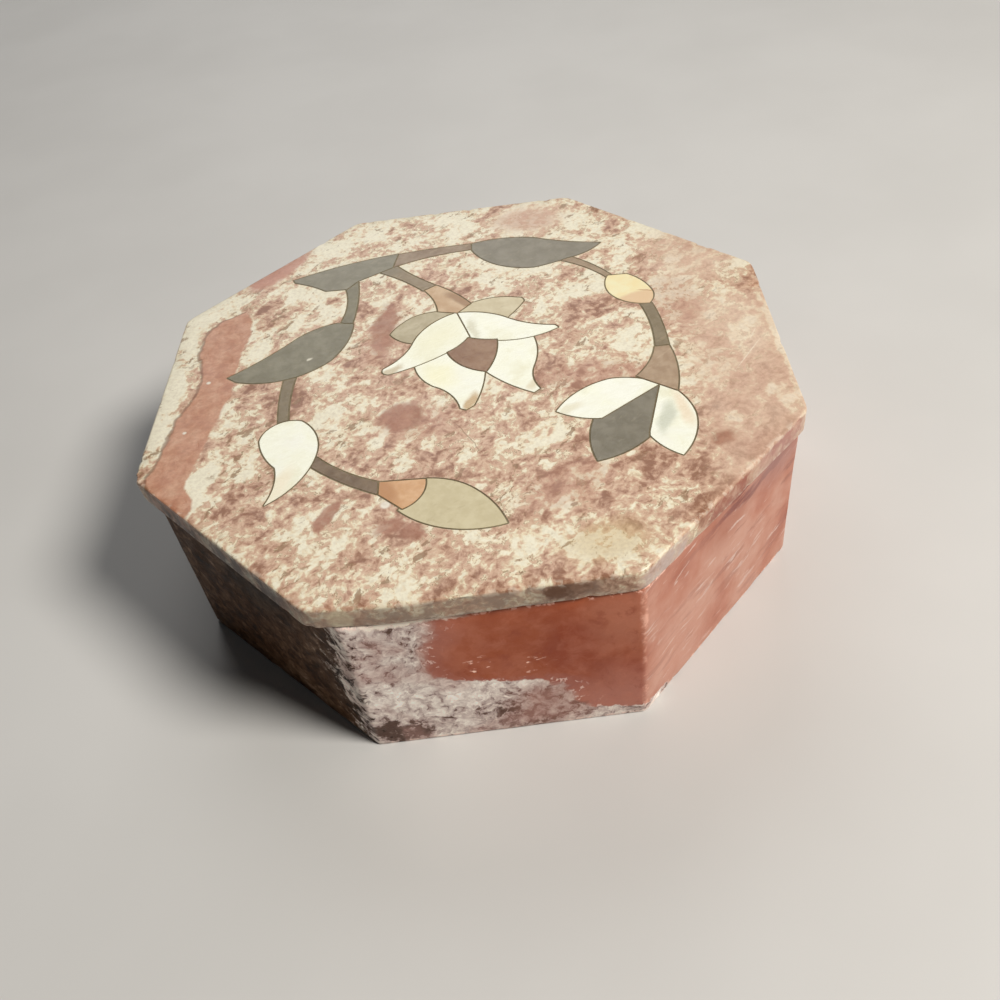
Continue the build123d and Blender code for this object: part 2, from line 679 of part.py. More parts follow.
# Corners of the lid: where each side meets the next one round
lid_corners = []
for place, (distance, side_direction) in enumerate(lid_sides):
    next_distance, next_side_direction = lid_sides[(place + 1) % len(lid_sides)]
    direction = math.radians(side_direction)
    next_direction = math.radians(next_side_direction)
    spread = math.sin(next_direction - direction)
    corner_x = (distance * math.sin(next_direction) - next_distance * math.sin(direction)) / spread
    corner_y = (next_distance * math.cos(direction) - distance * math.cos(next_direction)) / spread
    lid_corners.append((corner_x, corner_y))


# Lid: a hand-cut octagonal slab with a locating step under it and the inlay pocket on top
with BuildPart() as lid:
    with BuildSketch(lid_seat):
        with BuildLine():
            Polyline(lid_corners, close=True)
        make_face()
        fillet(vertices(), lid_corner_radius)
    extrude(amount=lid_thickness)
    fillet(lid.faces().sort_by(Axis.Z)[-1].edges(), lid_top_arris_radius)
    fillet(lid.faces().sort_by(Axis.Z)[0].edges(), lid_under_arris_radius)
    with BuildSketch(lid_seat):
        RegularPolygon(step_half_width, side_count, major_radius=False, rotation=corner_turn)
        fillet(vertices(), step_corner_radius)
    extrude(amount=-step_height)
    fillet(lid.faces().sort_by(Axis.Z)[0].edges(), step_arris_radius)
    with BuildSketch(pocket_floor):
        add(pocket_plan.sketch)
    extrude(amount=bed_depth + tile_thickness, mode=Mode.SUBTRACT)
lid.part.label = "lid"
export_step(lid.part, "parts/lid.step")
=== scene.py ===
"""A low octagonal soapstone box with a loose slab lid, inlaid with a spray in stone and shell."""
import math

import bmesh
import bpy
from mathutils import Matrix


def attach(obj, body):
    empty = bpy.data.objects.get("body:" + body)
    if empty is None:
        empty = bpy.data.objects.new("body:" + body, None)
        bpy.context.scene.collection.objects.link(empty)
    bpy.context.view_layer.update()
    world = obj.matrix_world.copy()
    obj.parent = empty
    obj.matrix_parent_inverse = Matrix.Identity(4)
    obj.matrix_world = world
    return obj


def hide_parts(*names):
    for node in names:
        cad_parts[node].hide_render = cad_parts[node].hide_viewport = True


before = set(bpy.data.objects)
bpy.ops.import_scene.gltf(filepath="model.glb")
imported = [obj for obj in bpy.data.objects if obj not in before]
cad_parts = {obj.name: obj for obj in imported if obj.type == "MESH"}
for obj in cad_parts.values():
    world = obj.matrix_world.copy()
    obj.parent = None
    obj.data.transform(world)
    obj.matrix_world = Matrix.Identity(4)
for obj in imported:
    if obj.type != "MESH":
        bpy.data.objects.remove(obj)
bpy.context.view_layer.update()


# ---------------------------------------------------------------------------------------------
# The box body: one block of soapstone sawn to an octagon and hollowed out, with its edges taken
# off by hand. The left of the block is pale, freckled stone, the right is plain brick red, and
# the two meet in a ragged line that shows on the front.
# ---------------------------------------------------------------------------------------------

MM = 0.001
RIGHT_LIGHT = (1.1, 0.065)      # light and glare on the right of the block
FRONT, DEPTH = -62, 40          # where the front face is, and how deep its patches go, in mm


class NodeBench:
    """Puts nodes in one tree. An input is fed a number, a colour or another node's output."""

    def __init__(self, tree):
        self.tree = tree

    def put(self, kind, feeds=None, **settings):
        node = self.tree.nodes.new(kind)
        for name, value in settings.items():
            setattr(node, name, value)
        for place, source in (feeds or {}).items():
            self.feed(node.inputs[place], source)
        return node

    def made(self, kind, feeds=None, **settings):
        """The first output of a new node."""
        return self.put(kind, feeds, **settings).outputs[0]

    def feed(self, socket, source):
        if isinstance(source, bpy.types.NodeSocket):
            self.tree.links.new(source, socket)
        else:
            socket.default_value = source

    def maths(self, operation, *sources, clamp=False):
        feeds = dict(enumerate(sources))
        return self.made("ShaderNodeMath", feeds, operation=operation, use_clamp=clamp)

    def vector_maths(self, operation, *sources):
        feeds = dict(enumerate(sources))
        node = self.put("ShaderNodeVectorMath", feeds, operation=operation)
        return node.outputs["Value" if operation in ("LENGTH", "DISTANCE") else "Vector"]

    def part(self, vector, axis):
        return self.put("ShaderNodeSeparateXYZ", {0: vector}).outputs[axis]

    def point(self, x, y, z):
        return self.made("ShaderNodeCombineXYZ", {0: x, 1: y, 2: z})

    def ramp(self, value, start, end, low=0.0, high=1.0):
        """Rises smoothly from low at start to high at end."""
        feeds = {"Value": value, "From Min": start, "From Max": end, "To Min": low, "To Max": high}
        return self.made("ShaderNodeMapRange", feeds, interpolation_type="SMOOTHSTEP")

    def noise(self, where, size, seed, **feeds):
        feeds = {"Vector": where, "W": seed, "Scale": 1 / size, **feeds}
        return self.put("ShaderNodeTexNoise", feeds, noise_dimensions="4D")

    def clouds(self, where, size, detail, roughness, seed):
        """Noise from about 0 to 1 whose clouds are about size across."""
        return self.noise(where, size, seed, Detail=detail, Roughness=roughness).outputs[0]

    def warped(self, where, size, reach, seed):
        """The place pushed about by clouds of that size, up to about reach each way."""
        noise = self.noise(where, size, seed, Detail=3.0)
        centred = self.vector_maths("SUBTRACT", noise.outputs["Color"], (0.5, 0.5, 0.5))
        push = self.vector_maths("MULTIPLY", centred, (2 * reach, 2 * reach, 2 * reach))
        return self.vector_maths("ADD", where, push)

    def seen_from(self, where, middle=(0, 0, 0), rotation=(0, 0, 0), scale=(1, 1, 1)):
        """The place in axes with that middle, turned by those degrees, of that scale."""
        turned = [math.radians(degrees) for degrees in rotation]
        feeds = {"Vector": where, "Location": middle, "Rotation": turned, "Scale": scale}
        return self.made("ShaderNodeMapping", feeds, vector_type="TEXTURE")

    def stretched(self, where, turn, along):
        """The place turned about the upright axis and squeezed, so that clouds come out longer."""
        return self.seen_from(where, rotation=(0, 0, turn), scale=(along, 1, 1))

    def tint(self, share, under, over):
        node = self.put("ShaderNodeMix", data_type="RGBA")
        for place, source in ((0, share), (6, under), (7, over)):
            self.feed(node.inputs[place], source)
        return node.outputs[2]

    def stained(self, under, over, share, weight):
        """A colour with another over it, where the share says and as thinly as the weight says."""
        return self.tint(self.maths("MULTIPLY", share, weight), under, over)

    def tones(self, value, stops):
        """Colours blended through (value, colour) stops."""
        node = self.put("ShaderNodeValToRGB", {0: value})
        elements = node.color_ramp.elements
        elements[0].position, elements[0].color = stops[0]
        elements[1].position, elements[1].color = stops[-1]
        for place, colour in stops[1:-1]:
            elements.new(place).color = colour
        return node.outputs[0]

    def blend(self, *parts):
        """The sum of values, each times its weight."""
        total = 0.0
        for weight, value in parts:
            total = self.maths("MULTIPLY_ADD", value, weight, total)
        return total


def stone_colour(red, green, blue, light=0.60, glare=0.027):
    """A colour as the eye sees it, 0 to 255, as the stone's own colour under that much light,
    with the glare off its polish taken away."""
    def own(level):
        level /= 255
        linear = level / 12.92 if level <= 0.04045 else ((level + 0.055) / 1.055) ** 2.4
        return max(linear - glare, 0.004) / light

    return (own(red), own(green), own(blue), 1.0)


def stone_stops(light_and_glare, *stops):
    """Stops for tones, each a value and the three levels of a colour as the eye sees it."""
    return [(value, stone_colour(*levels, *light_and_glare)) for value, *levels in stops]


def new_finish(name):
    """An empty material, the bench over its nodes and its shader."""
    material = bpy.data.materials.new(name)
    material.use_nodes = True
    bench = NodeBench(material.node_tree)
    return material, bench, material.node_tree.nodes["Principled BSDF"]


def vary_roughness(bench, shader, cloud, least, most):
    """Roughness between two values, by a cloud."""
    bench.feed(shader.inputs["Roughness"], bench.ramp(cloud, 0.3, 0.7, least, most))


def add_relief(bench, shader, height, strength, depth):
    """Small ups and downs of the surface, by that height and as deep as the depth."""
    feeds = {"Strength": strength, "Distance": depth, "Height": height}
    bench.feed(shader.inputs["Normal"], bench.made("ShaderNodeBump", feeds))


def place_in_mm(bench, origin=(0, 0, 0), turn=0.0):
    """Object coordinates in millimetres from an origin, in axes turned by that many degrees."""
    coordinates = bench.put("ShaderNodeTexCoord").outputs["Object"]
    return bench.seen_from(coordinates, origin, (0, 0, turn), (MM, MM, MM))


def curve_through(bench, value, stops, span=70.0):
    """A smooth curve through (from, to) stops, both in millimetres between -span and span."""
    share = bench.maths("MULTIPLY_ADD", value, 0.5 / span, 0.5, clamp=True)
    node = bench.put("ShaderNodeFloatCurve", {"Value": share})
    points = node.mapping.curves[0].points
    scaled = [((a + span) / (2 * span), (b + span) / (2 * span)) for a, b in stops]
    points[0].location, points[1].location = scaled[0], scaled[-1]
    for stop in scaled[1:-1]:
        points.new(*stop)
    node.mapping.update()
    return bench.maths("MULTIPLY_ADD", node.outputs[0], 2 * span, -span)


def spot(bench, where, middle, reach, turn=0.0, ragged=0.35):
    """1 inside an egg-shaped region of stone, 0 outside, with a soft edge."""
    inside = bench.seen_from(where, middle, (0, 0, turn), reach)
    return bench.ramp(bench.vector_maths("LENGTH", inside), 1 + ragged, 1 - ragged)


def worn_edges(bench, where, seed):
    """Bruised spots along the top and bottom edges, from 0 to 1."""
    feeds = {"attribute_name": "from_edge", "attribute_type": "GEOMETRY"}
    from_edge = bench.put("ShaderNodeAttribute", **feeds).outputs["Fac"]
    near = bench.ramp(from_edge, 1.3 * MM, 0.4 * MM)
    bruised = bench.ramp(bench.clouds(where, 1.6, 4, 0.65, seed), 0.50, 0.58)
    return bench.maths("MULTIPLY", near, bruised)


def body_stone():
    """Pale stone with dark freckles at the left of the block, dark brown stone further left whose
    darkness is partly painted shade, and brick red stone at the right, with a painted highlight
    along the upright corners."""
    material, bench, shader = new_finish("body_soapstone")
    maths, ramp, clouds = bench.maths, bench.ramp, bench.clouds
    where = place_in_mm(bench)
    wandering = bench.warped(where, 12, 2.6, 1)
    crumbled = bench.warped(bench.warped(wandering, 2.2, 1.7, 2), 0.8, 0.7, 19)
    x, y = bench.part(where, "X"), bench.part(where, "Y")

    def region(middle, reach, ragged=0.6):
        return spot(bench, wandering, middle, reach, 0, ragged)

    def front_region(x, z, half_width, half_height, ragged=0.6):
        return region((x, FRONT, z), (half_width, DEPTH, half_height), ragged)

    # the two stones meet in a ragged line that falls from the left to the right, softer higher up
    line = curve_through(bench, bench.part(crumbled, "Z"), [
        (-70, 34), (0, 32), (2.5, 26), (5, 15), (9.5, 12), (14, 7.5), (16, 2), (17.5, -6),
        (20, -13), (26, -13.5), (32, -11), (36, -12), (70, -20),
    ])
    into_pale = maths("SUBTRACT", line, bench.part(crumbled, "X"))
    softness = ramp(bench.part(where, "Z"), 13, 24, 0.9, 2.4)
    pale = ramp(into_pale, maths("MULTIPLY", softness, -1), softness)

    # pale stone: lavender and white clouds eaten into by dark purple-brown freckles
    freckle = clouds(bench.warped(crumbled, 1.3, 0.9, 3), 1.9, 4, 0.62, 4)
    level = bench.blend(
        (0.70, freckle),
        (0.30, clouds(wandering, 7, 3, 0.55, 5)),
        (0.020, 1.0),
        (0.040, front_region(-14, 16, 13, 6)),
        (-0.150, front_region(-21, 4.5, 6, 3.2, 0.5)),
        (-0.022, front_region(-19, 30, 8, 6)),
        (-0.050, front_region(0, 5, 4, 4)),
        (-0.040, front_region(9, 6, 7, 6)),
    )
    freckled = bench.tones(level, stone_stops(
        (), (0.39, 78, 60, 53), (0.43, 108, 88, 81), (0.455, 150, 131, 126),
        (0.51, 178, 163, 156), (0.58, 200, 190, 181), (0.66, 222, 214, 205),
    ))
    rosy = ramp(clouds(wandering, 8, 3, 0.5, 6), 0.50, 0.66, 0.0, 0.40)
    freckled = bench.tint(rosy, freckled, stone_colour(158, 122, 114))
    rosy_end = front_region(9, 7, 8, 7)
    freckled = bench.stained(freckled, stone_colour(150, 108, 96), rosy_end, 0.5)

    # further left the block is dark brown stone with lighter mottling, its darkness partly painted
    # shade for the front left face, which the light does not reach
    brown_cloud = bench.blend((0.6, freckle), (0.4, clouds(wandering, 9, 3, 0.55, 7)))
    brown = bench.tones(brown_cloud, stone_stops(
        (), (0.36, 50, 39, 32), (0.47, 72, 57, 47), (0.57, 98, 79, 66), (0.67, 138, 116, 101),
    ))
    # painted shade, darkest at the middle of the front left face
    shaded = region((-46, -46, 30), (10, 10, 7))
    brown = bench.stained(brown, stone_colour(36, 26, 18), shaded, 0.65)
    ragged_x = maths("MULTIPLY_ADD", freckle, 24, maths("SUBTRACT", bench.part(crumbled, "X"), 12))
    in_brown_and_shade = ramp(ragged_x, -25.5, -29.5)
    freckled = bench.tint(in_brown_and_shade, freckled, brown)

    # red stone: even brick red in soft clouds, purple where it nears the pale stone
    red = bench.tones(clouds(wandering, 20, 4, 0.5, 8), stone_stops(
        (), (0.34, 128, 66, 46), (0.50, 139, 77, 56), (0.66, 156, 97, 78),
    ))
    red = bench.tint(ramp(into_pale, -8, -0.5, 0.0, 0.75), red, stone_colour(142, 92, 82))
    red = bench.stained(red, stone_colour(156, 104, 92), front_region(22, 6, 8, 9, 0.7), 0.7)
    red = bench.stained(red, stone_colour(162, 106, 86), front_region(23, 30, 6, 9, 0.7), 0.6)
    cloudy = clouds(crumbled, 3.4, 5, 0.6, 9)
    red = bench.tint(ramp(cloudy, 0.42, 0.72, 0.0, 0.34), red, stone_colour(172, 112, 92))
    red = bench.tint(ramp(cloudy, 0.46, 0.30, 0.0, 0.5), red, stone_colour(122, 62, 42))
    dashes = ramp(clouds(bench.stretched(where, 0, 2.4), 1.1, 3, 0.6, 10), 0.60, 0.66)
    chipped_zone = spot(bench, where, (-1, FRONT, 20), (8, 8, 3.5), 0, 0.5)
    red = bench.stained(red, stone_colour(224, 190, 174), dashes, chipped_zone)
    crumbs = ramp(clouds(crumbled, 1.3, 3, 0.6, 20), 0.60, 0.64)
    near_line = ramp(into_pale, -5, -1, 0.0, 0.9)
    red = bench.stained(red, stone_colour(196, 168, 158), crumbs, near_line)

    # the right of the block takes more light: salmon pink, streaked pale and purple
    def right_colour(*levels):
        return stone_colour(*levels, *RIGHT_LIGHT)

    salmon = bench.tones(clouds(wandering, 13, 4, 0.55, 11), stone_stops(
        RIGHT_LIGHT, (0.32, 186, 122, 104), (0.48, 204, 146, 127), (0.62, 216, 168, 150),
    ))
    streaky = bench.warped(where, 9, 1.6, 12)
    slanted = bench.seen_from(streaky, rotation=(0, -4, 45), scale=(7, 1, 1))
    lit = region((34, -54, 9), (9, 9, 12))
    salmon = bench.stained(salmon, right_colour(218, 168, 150), lit, 0.7)
    deep = region((45, -43, 31), (8, 8, 6))
    salmon = bench.stained(salmon, right_colour(182, 122, 104), deep, 0.7)
    purple = ramp(clouds(slanted, 2.4, 4, 0.62, 13), 0.52, 0.64)
    purple_zone = ramp(region((52, -38, 28), (13, 13, 12)), 0, 1, 0.25, 0.9)
    salmon = bench.stained(salmon, right_colour(148, 100, 94), purple, purple_zone)
    streak = ramp(clouds(slanted, 1.1, 4, 0.62, 14), 0.56, 0.66)
    gathered = ramp(clouds(wandering, 10, 2, 0.5, 15), 0.40, 0.60, 0.05, 0.85)
    salmon = bench.stained(salmon, right_colour(232, 204, 192), streak, gathered)
    mauve = region((58, -31, 33), (10, 8, 6))
    salmon = bench.stained(salmon, right_colour(186, 146, 138), mauve, 0.65)
    # the change runs back from the front right corner, a little slanted
    across_block = maths("ADD", x, maths("MULTIPLY", y, 0.3))
    red = bench.tint(ramp(across_block, 6.0, 8.2), red, salmon)

    # the upright corners, 67.2 mm out, are rubbed pale and carry a painted highlight, and the edges
    # are rubbed pale; all fainter at the left of the block
    colour = bench.tint(pale, red, freckled)
    from_axis = bench.vector_maths("LENGTH", bench.vector_maths("MULTIPLY", where, (1, 1, 0)))
    bruised = ramp(clouds(where, 1.8, 4, 0.62, 21), 0.46, 0.62, 0.05, 0.55)
    # the pale line down the upright corners is partly wear and partly a painted highlight
    rubbed_and_highlit = maths("MULTIPLY", ramp(from_axis, 66.85, 67.1), bruised)
    rubbed_and_highlit = maths("MAXIMUM", rubbed_and_highlit, worn_edges(bench, where, 16))
    rubbed_and_highlit = maths("MULTIPLY", rubbed_and_highlit, ramp(x, -27, -24, 0.25, 0.8))
    rubbed_and_highlit_colour = bench.tint(pale, stone_colour(214, 170, 152), stone_colour(216, 190, 178))
    colour = bench.tint(rubbed_and_highlit, colour, rubbed_and_highlit_colour)
    seam = spot(bench, crumbled, (-14, -62.2, 36.0), (8, 3, 0.9), 0, 0.4)
    colour = bench.stained(colour, stone_colour(228, 216, 200), seam, 0.85)
    bench.feed(shader.inputs["Base Color"], colour)
    vary_roughness(bench, shader, clouds(where, 3, 5, 0.6, 17), 0.42, 0.60)
    bench.feed(shader.inputs["Specular IOR Level"], ramp(in_brown_and_shade, 0, 1, 0.45, 0.10))
    pits = maths("MULTIPLY", ramp(freckle, 0.47, 0.40), maths("MULTIPLY", pale, -0.8))
    relief = maths("ADD", clouds(where, 0.9, 4, 0.6, 18), pits)
    add_relief(bench, shader, relief, 0.35, 0.12 * MM)
    return material


SIDES = ("Front", "Front Right", "Right", "Back Right", "Back", "Back Left", "Left", "Front Left")
BOW = "Front Bow"
CORNERS = ("First Corner", "Second Corner", "Third Corner", "Fourth Corner")
SIDE_ANGLE, FRONT_BEARING = 45, -90     # degrees from side to side, and where the front faces
FAR_CUT = 30 * MM                       # a side moved out so far that it cuts nothing


def octagon_stone_tree():
    """Geometry nodes for a hand-cut octagonal stone: a section with four rounded corners, taken
    round eight sides. A corner is (half width, height, edge radius). The first rounding is the
    plan's at the first two corners, the second at the last two. Cuts and turns move the sides
    there, and the front bow is a ninth side, cut across the front's left end."""
    tree = bpy.data.node_groups.new("octagon_stone", "GeometryNodeTree")
    tree.interface.new_socket("Geometry", in_out="OUTPUT", socket_type="NodeSocketGeometry")

    def named_input(name, kind, value=None):
        kind = "NodeSocket" + kind
        socket = tree.interface.new_socket(name, in_out="INPUT", socket_type=kind)
        if value is not None:
            socket.default_value = value

    for name in CORNERS:
        named_input(name, "Vector")
    named_input("First Rounding", "Float", 2 * MM)
    named_input("Second Rounding", "Float", 5 * MM)
    for name in (*SIDES, BOW):
        named_input(name + " Cut", "Float", FAR_CUT if name == BOW else 0.0)
        named_input(name + " Turn", "Float", 0.0)
    named_input("Steps A Side", "Int", 48)
    named_input("Row Spacing", "Float", 2.4 * MM)
    named_input("Wobble", "Float", 0.15 * MM)
    named_input("Chip Depth", "Float", 0.4 * MM)
    named_input("Seed", "Float", 1.0)
    named_input("Seat", "Vector")
    named_input("Turn", "Vector")
    named_input("Stone", "Material")

    bench = NodeBench(tree)
    maths, made = bench.maths, bench.made
    given = bench.put("NodeGroupInput").outputs
    index = made("GeometryNodeInputIndex")
    steps = given["Steps A Side"]

    def pick(choices, data_type):
        """One of the choices, by the index of the point."""
        node = bench.put("GeometryNodeIndexSwitch", data_type=data_type)
        while len(node.index_switch_items) < len(choices):
            node.index_switch_items.new()
        bench.feed(node.inputs["Index"], index)
        for place, choice in enumerate(choices, 1):
            bench.feed(node.inputs[place], choice)
        return node.outputs[0]

    def kept(name):
        return made("GeometryNodeInputNamedAttribute", {"Name": name}, data_type="FLOAT")

    def keep(geometry, name, value):
        feeds = {"Geometry": geometry, "Name": name, "Value": value}
        return made("GeometryNodeStoreNamedAttribute", feeds, data_type="FLOAT")

    def moved(geometry, **feeds):
        return made("GeometryNodeSetPosition", {"Geometry": geometry, **feeds})

    # the section: centre of the first face, four corners, centre of the last face
    corners = [bench.point(bench.part(given[name], "X"), 0.0, bench.part(given[name], "Y"))
               for name in CORNERS]
    radii = [bench.part(given[name], "Z") for name in CORNERS]
    ends = [bench.point(0.0, 0.0, bench.part(given[name], "Y"))
            for name in (CORNERS[0], CORNERS[-1])]
    first, second = given["First Rounding"], given["Second Rounding"]
    section = made("GeometryNodeMeshLine", {"Count": 6})
    section = moved(section, Position=pick([ends[0], *corners, ends[1]], "VECTOR"))
    section = keep(section, "edge_radius", pick([0.0, *radii, 0.0], "FLOAT"))
    section = keep(section, "rounding", pick([first] * 3 + [second] * 3, "FLOAT"))
    section = keep(section, "cut_share", pick([0.0] * 3 + [1.0] * 3, "FLOAT"))
    section = made("GeometryNodeMeshToCurve", {0: section})
    feeds = {"Curve": section, "Radius": kept("edge_radius"), "Count": 5}
    section = made("GeometryNodeFilletCurve", feeds, mode="POLY")
    position = made("GeometryNodeInputPosition")
    feeds = {"Value": position, "Index": maths("ADD", index, 1)}
    following = made("GeometryNodeFieldAtIndex", feeds, data_type="FLOAT_VECTOR")
    run = bench.vector_maths("DISTANCE", position, following)
    cuts = maths("FLOOR", maths("DIVIDE", run, given["Row Spacing"]))
    section = made("GeometryNodeSubdivideCurve", {"Curve": section, "Cuts": cuts})
    counted = bench.put("GeometryNodeAttributeDomainSize", {0: section}, component="CURVE")
    rows = counted.outputs["Point Count"]

    # a sheet of rows by columns, bent to the section and to the sides
    columns = maths("ADD", maths("MULTIPLY", steps, len(SIDES)), 1)
    sheet = made("GeometryNodeMeshGrid", {"Vertices X": rows, "Vertices Y": columns})
    row = maths("FLOOR", maths("DIVIDE", maths("ADD", index, 0.5), columns))
    column = maths("SUBTRACT", index, maths("MULTIPLY", row, columns))

    def from_section(value, data_type):
        feeds = {"Geometry": section, "Value": value, "Index": row}
        return made("GeometryNodeSampleIndex", feeds, data_type=data_type, domain="POINT")

    in_section = from_section(position, "FLOAT_VECTOR")
    rounding = from_section(kept("rounding"), "FLOAT")
    share = from_section(kept("cut_share"), "FLOAT")
    half_width, height = bench.part(in_section, "X"), bench.part(in_section, "Z")

    # the bearing of a column: the columns crowd towards the corners between two sides
    half_side = math.radians(SIDE_ANGLE / 2)
    just_past = maths("ADD", column, 1e-4)
    side = maths("FLOOR", maths("DIVIDE", just_past, steps))
    along_side = maths("SUBTRACT", maths("DIVIDE", column, steps), side)
    across = maths("MULTIPLY_ADD", along_side, 2, -1)
    lean = maths("MULTIPLY", maths("SINE", maths("MULTIPLY", across, math.pi / 2)), half_side)
    from_front = maths("ADD", lean, math.radians(FRONT_BEARING))
    bearing = maths("MULTIPLY_ADD", side, math.radians(SIDE_ANGLE), from_front)

    # sides that hold the outline in by a high power meet in corners of that rounding
    full_width = bench.part(given[CORNERS[-1]], "X")
    power_for_rounding, least_power = 9.1, 8
    power = maths("DIVIDE", maths("MULTIPLY", half_width, power_for_rounding), rounding)
    power = maths("MAXIMUM", least_power, power)

    def hold(name, nominal):
        """How firmly one side holds the outline in at this bearing."""
        cut = maths("DIVIDE", maths("MULTIPLY", given[name + " Cut"], share), full_width)
        faces = maths("MULTIPLY_ADD", given[name + " Turn"], share, math.radians(nominal))
        facing = maths("MAXIMUM", maths("COSINE", maths("SUBTRACT", bearing, faces)), 0)
        return maths("POWER", maths("DIVIDE", facing, maths("ADD", cut, 1)), power)

    held = maths("MULTIPLY", hold(BOW, FRONT_BEARING), share)
    for number, name in enumerate(SIDES):
        held = maths("ADD", held, hold(name, SIDE_ANGLE * number + FRONT_BEARING))
    radius = maths("MULTIPLY", half_width, maths("POWER", held, maths("DIVIDE", -1, power)))
    bent = bench.point(
        maths("MULTIPLY", radius, maths("COSINE", bearing)),
        maths("MULTIPLY", radius, maths("SINE", bearing)),
        height,
    )
    from_corners = [bench.vector_maths("DISTANCE", in_section, corner) for corner in corners]
    nearest = from_corners[0]
    for other in from_corners[1:]:
        nearest = maths("MINIMUM", nearest, other)
    stone = moved(keep(sheet, "from_edge", nearest), Position=bent)
    feeds = {"Geometry": stone, "Distance": 0.002 * MM}
    stone = made("GeometryNodeMergeByDistance", feeds)
    stone = made("GeometryNodeFlipFaces", {0: stone})

    # the saw's wobble on the upright faces, and chips along the edges, both only into the stone
    normal = made("GeometryNodeInputNormal")
    upright = bench.ramp(maths("ABSOLUTE", bench.part(normal, "Z")), 0.9, 0.3)
    wave = bench.ramp(bench.clouds(position, 14 * MM, 2, 0.5, given["Seed"]), 0.3, 0.7)
    wobble = maths("MULTIPLY", maths("MULTIPLY", wave, upright), given["Wobble"])
    chip = bench.clouds(position, 3.5 * MM, 3, 0.55, maths("ADD", given["Seed"], 7))
    chip = bench.ramp(chip, 0.54, 0.72)
    edge = bench.ramp(kept("from_edge"), 1.8 * MM, 0.3 * MM)
    chipped = maths("MULTIPLY", maths("MULTIPLY", chip, edge), given["Chip Depth"])
    taken = maths("MULTIPLY", maths("ADD", wobble, chipped), -1)
    inward = made("ShaderNodeVectorMath", {0: normal, "Scale": taken}, operation="SCALE")
    stone = moved(stone, Offset=inward)

    feeds = {"Geometry": stone, "Translation": given["Seat"], "Rotation": given["Turn"]}
    stone = made("GeometryNodeTransform", feeds)
    stone = made("GeometryNodeRealizeInstances", {0: stone})
    feeds = {"Geometry": stone, "Material": given["Stone"]}
    bench.put("NodeGroupOutput", {0: made("GeometryNodeSetMaterial", feeds)})
    return tree


def plain_mesh(piece, material):
    """Leaves the piece as the mesh that its modifiers make, in one material."""
    evaluated = piece.evaluated_get(bpy.context.evaluated_depsgraph_get())
    mesh = bpy.data.meshes.new_from_object(evaluated)
    piece.modifiers.clear()
    piece.data = mesh
    mesh.name = piece.name
    mesh.materials.clear()
    mesh.materials.append(material)
    return mesh


def cut_stone(name, tree, settings):
    """A piece made by the tree with those inputs."""
    piece = bpy.data.objects.new(name, bpy.data.meshes.new(name))
    bpy.context.scene.collection.objects.link(piece)
    modifier = piece.modifiers.new("stone", "NODES")
    modifier.node_group = tree
    for item in tree.interface.items_tree:
        if item.item_type == "SOCKET" and item.in_out == "INPUT" and item.name in settings:
            modifier[item.identifier] = settings[item.name]
    mesh = plain_mesh(piece, settings["Stone"])
    mesh.polygons.foreach_set("use_smooth", [True] * len(mesh.polygons))
    return piece


octagon_stone = octagon_stone_tree()
BODY_HALF_WIDTH, BODY_HEIGHT, WALL, FLOOR = 62.2 * MM, 36.4 * MM, 8 * MM, 6 * MM
box = cut_stone("stone_box", octagon_stone, {
    "First Corner": (BODY_HALF_WIDTH, 0.0, 0.8 * MM),
    "Second Corner": (BODY_HALF_WIDTH, BODY_HEIGHT, 0.8 * MM),
    "Third Corner": (BODY_HALF_WIDTH - WALL, BODY_HEIGHT, 0.6 * MM),
    "Fourth Corner": (BODY_HALF_WIDTH - WALL, FLOOR, 2.5 * MM),
    "First Rounding": 2 * MM,
    "Second Rounding": 5 * MM,
    "Wobble": 0.2 * MM,
    "Chip Depth": 0.45 * MM,
    "Seed": 3.0,
    "Stone": body_stone(),
})
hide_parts("box_body")
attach(box, "box")


# ---------------------------------------------------------------------------------------------
# The lid: one slab of the same stone, sawn a little unevenly, with a step under it that finds
# the cavity and one shallow pocket in the top for the inlay. It lies a little turned on the box.
# ---------------------------------------------------------------------------------------------

LID_HALF_WIDTH, LID_UNDER, LID_TOP = 63.5 * MM, BODY_HEIGHT, 41.1 * MM
STEP_HALF_WIDTH, STEP_UNDER = 51.6 * MM, 32.9 * MM
LID_SHIFT, LID_TURN = (-0.3 * MM, 0.8 * MM, 0.0), -2.42
POCKET_FLOOR = 39.0 * MM
TOP_LIGHT = (1.12, 0.06)        # light and glare on the polished top, which takes the most
LID_SIDES = {
    # side: how far it stands out past the half width, in mm, and how far it is turned, in degrees
    "Front": (0.1, 2.9), "Front Right": (0.7, 0.0), "Right": (0.6, -0.6),
    "Back Right": (0.2, -1.2), "Back": (0.8, 0.8), "Back Left": (1.4, -0.6),
    "Left": (1.3, 0.4), "Front Left": (1.0, 0.1), BOW: (1.7, -3.7),
}


def top_colour(*levels):
    """A stone's own colour for the polished top."""
    return stone_colour(*levels, *TOP_LIGHT)


def patch(bench, where, x, y, half_length, half_width, turn=0.0, ragged=0.35):
    """1 inside a patch of stone at that place of the lid's top, 0 outside."""
    return spot(bench, where, (x, y, LID_TOP / MM), (half_length, half_width, 30), turn, ragged)


def dots(bench, where, places):
    """1 inside round spots of stone on the lid's top, each an x, a y and a radius."""
    nearest = 2.0
    for x, y, radius in places:
        away = bench.vector_maths("DISTANCE", where, (x, y, LID_TOP / MM))
        nearest = bench.maths("MINIMUM", bench.maths("DIVIDE", away, radius), nearest)
    return bench.ramp(nearest, 1.35, 0.65)


def most_of(bench, shares):
    """The largest of the shares, each compared as it is made."""
    most = 0.0
    for share in shares:
        most = bench.maths("MAXIMUM", share, most)
    return most


def patches(bench, where, places, *ending):
    """1 inside any of the patches, 0 outside."""
    return most_of(bench, (patch(bench, where, *place, *ending) for place in places))


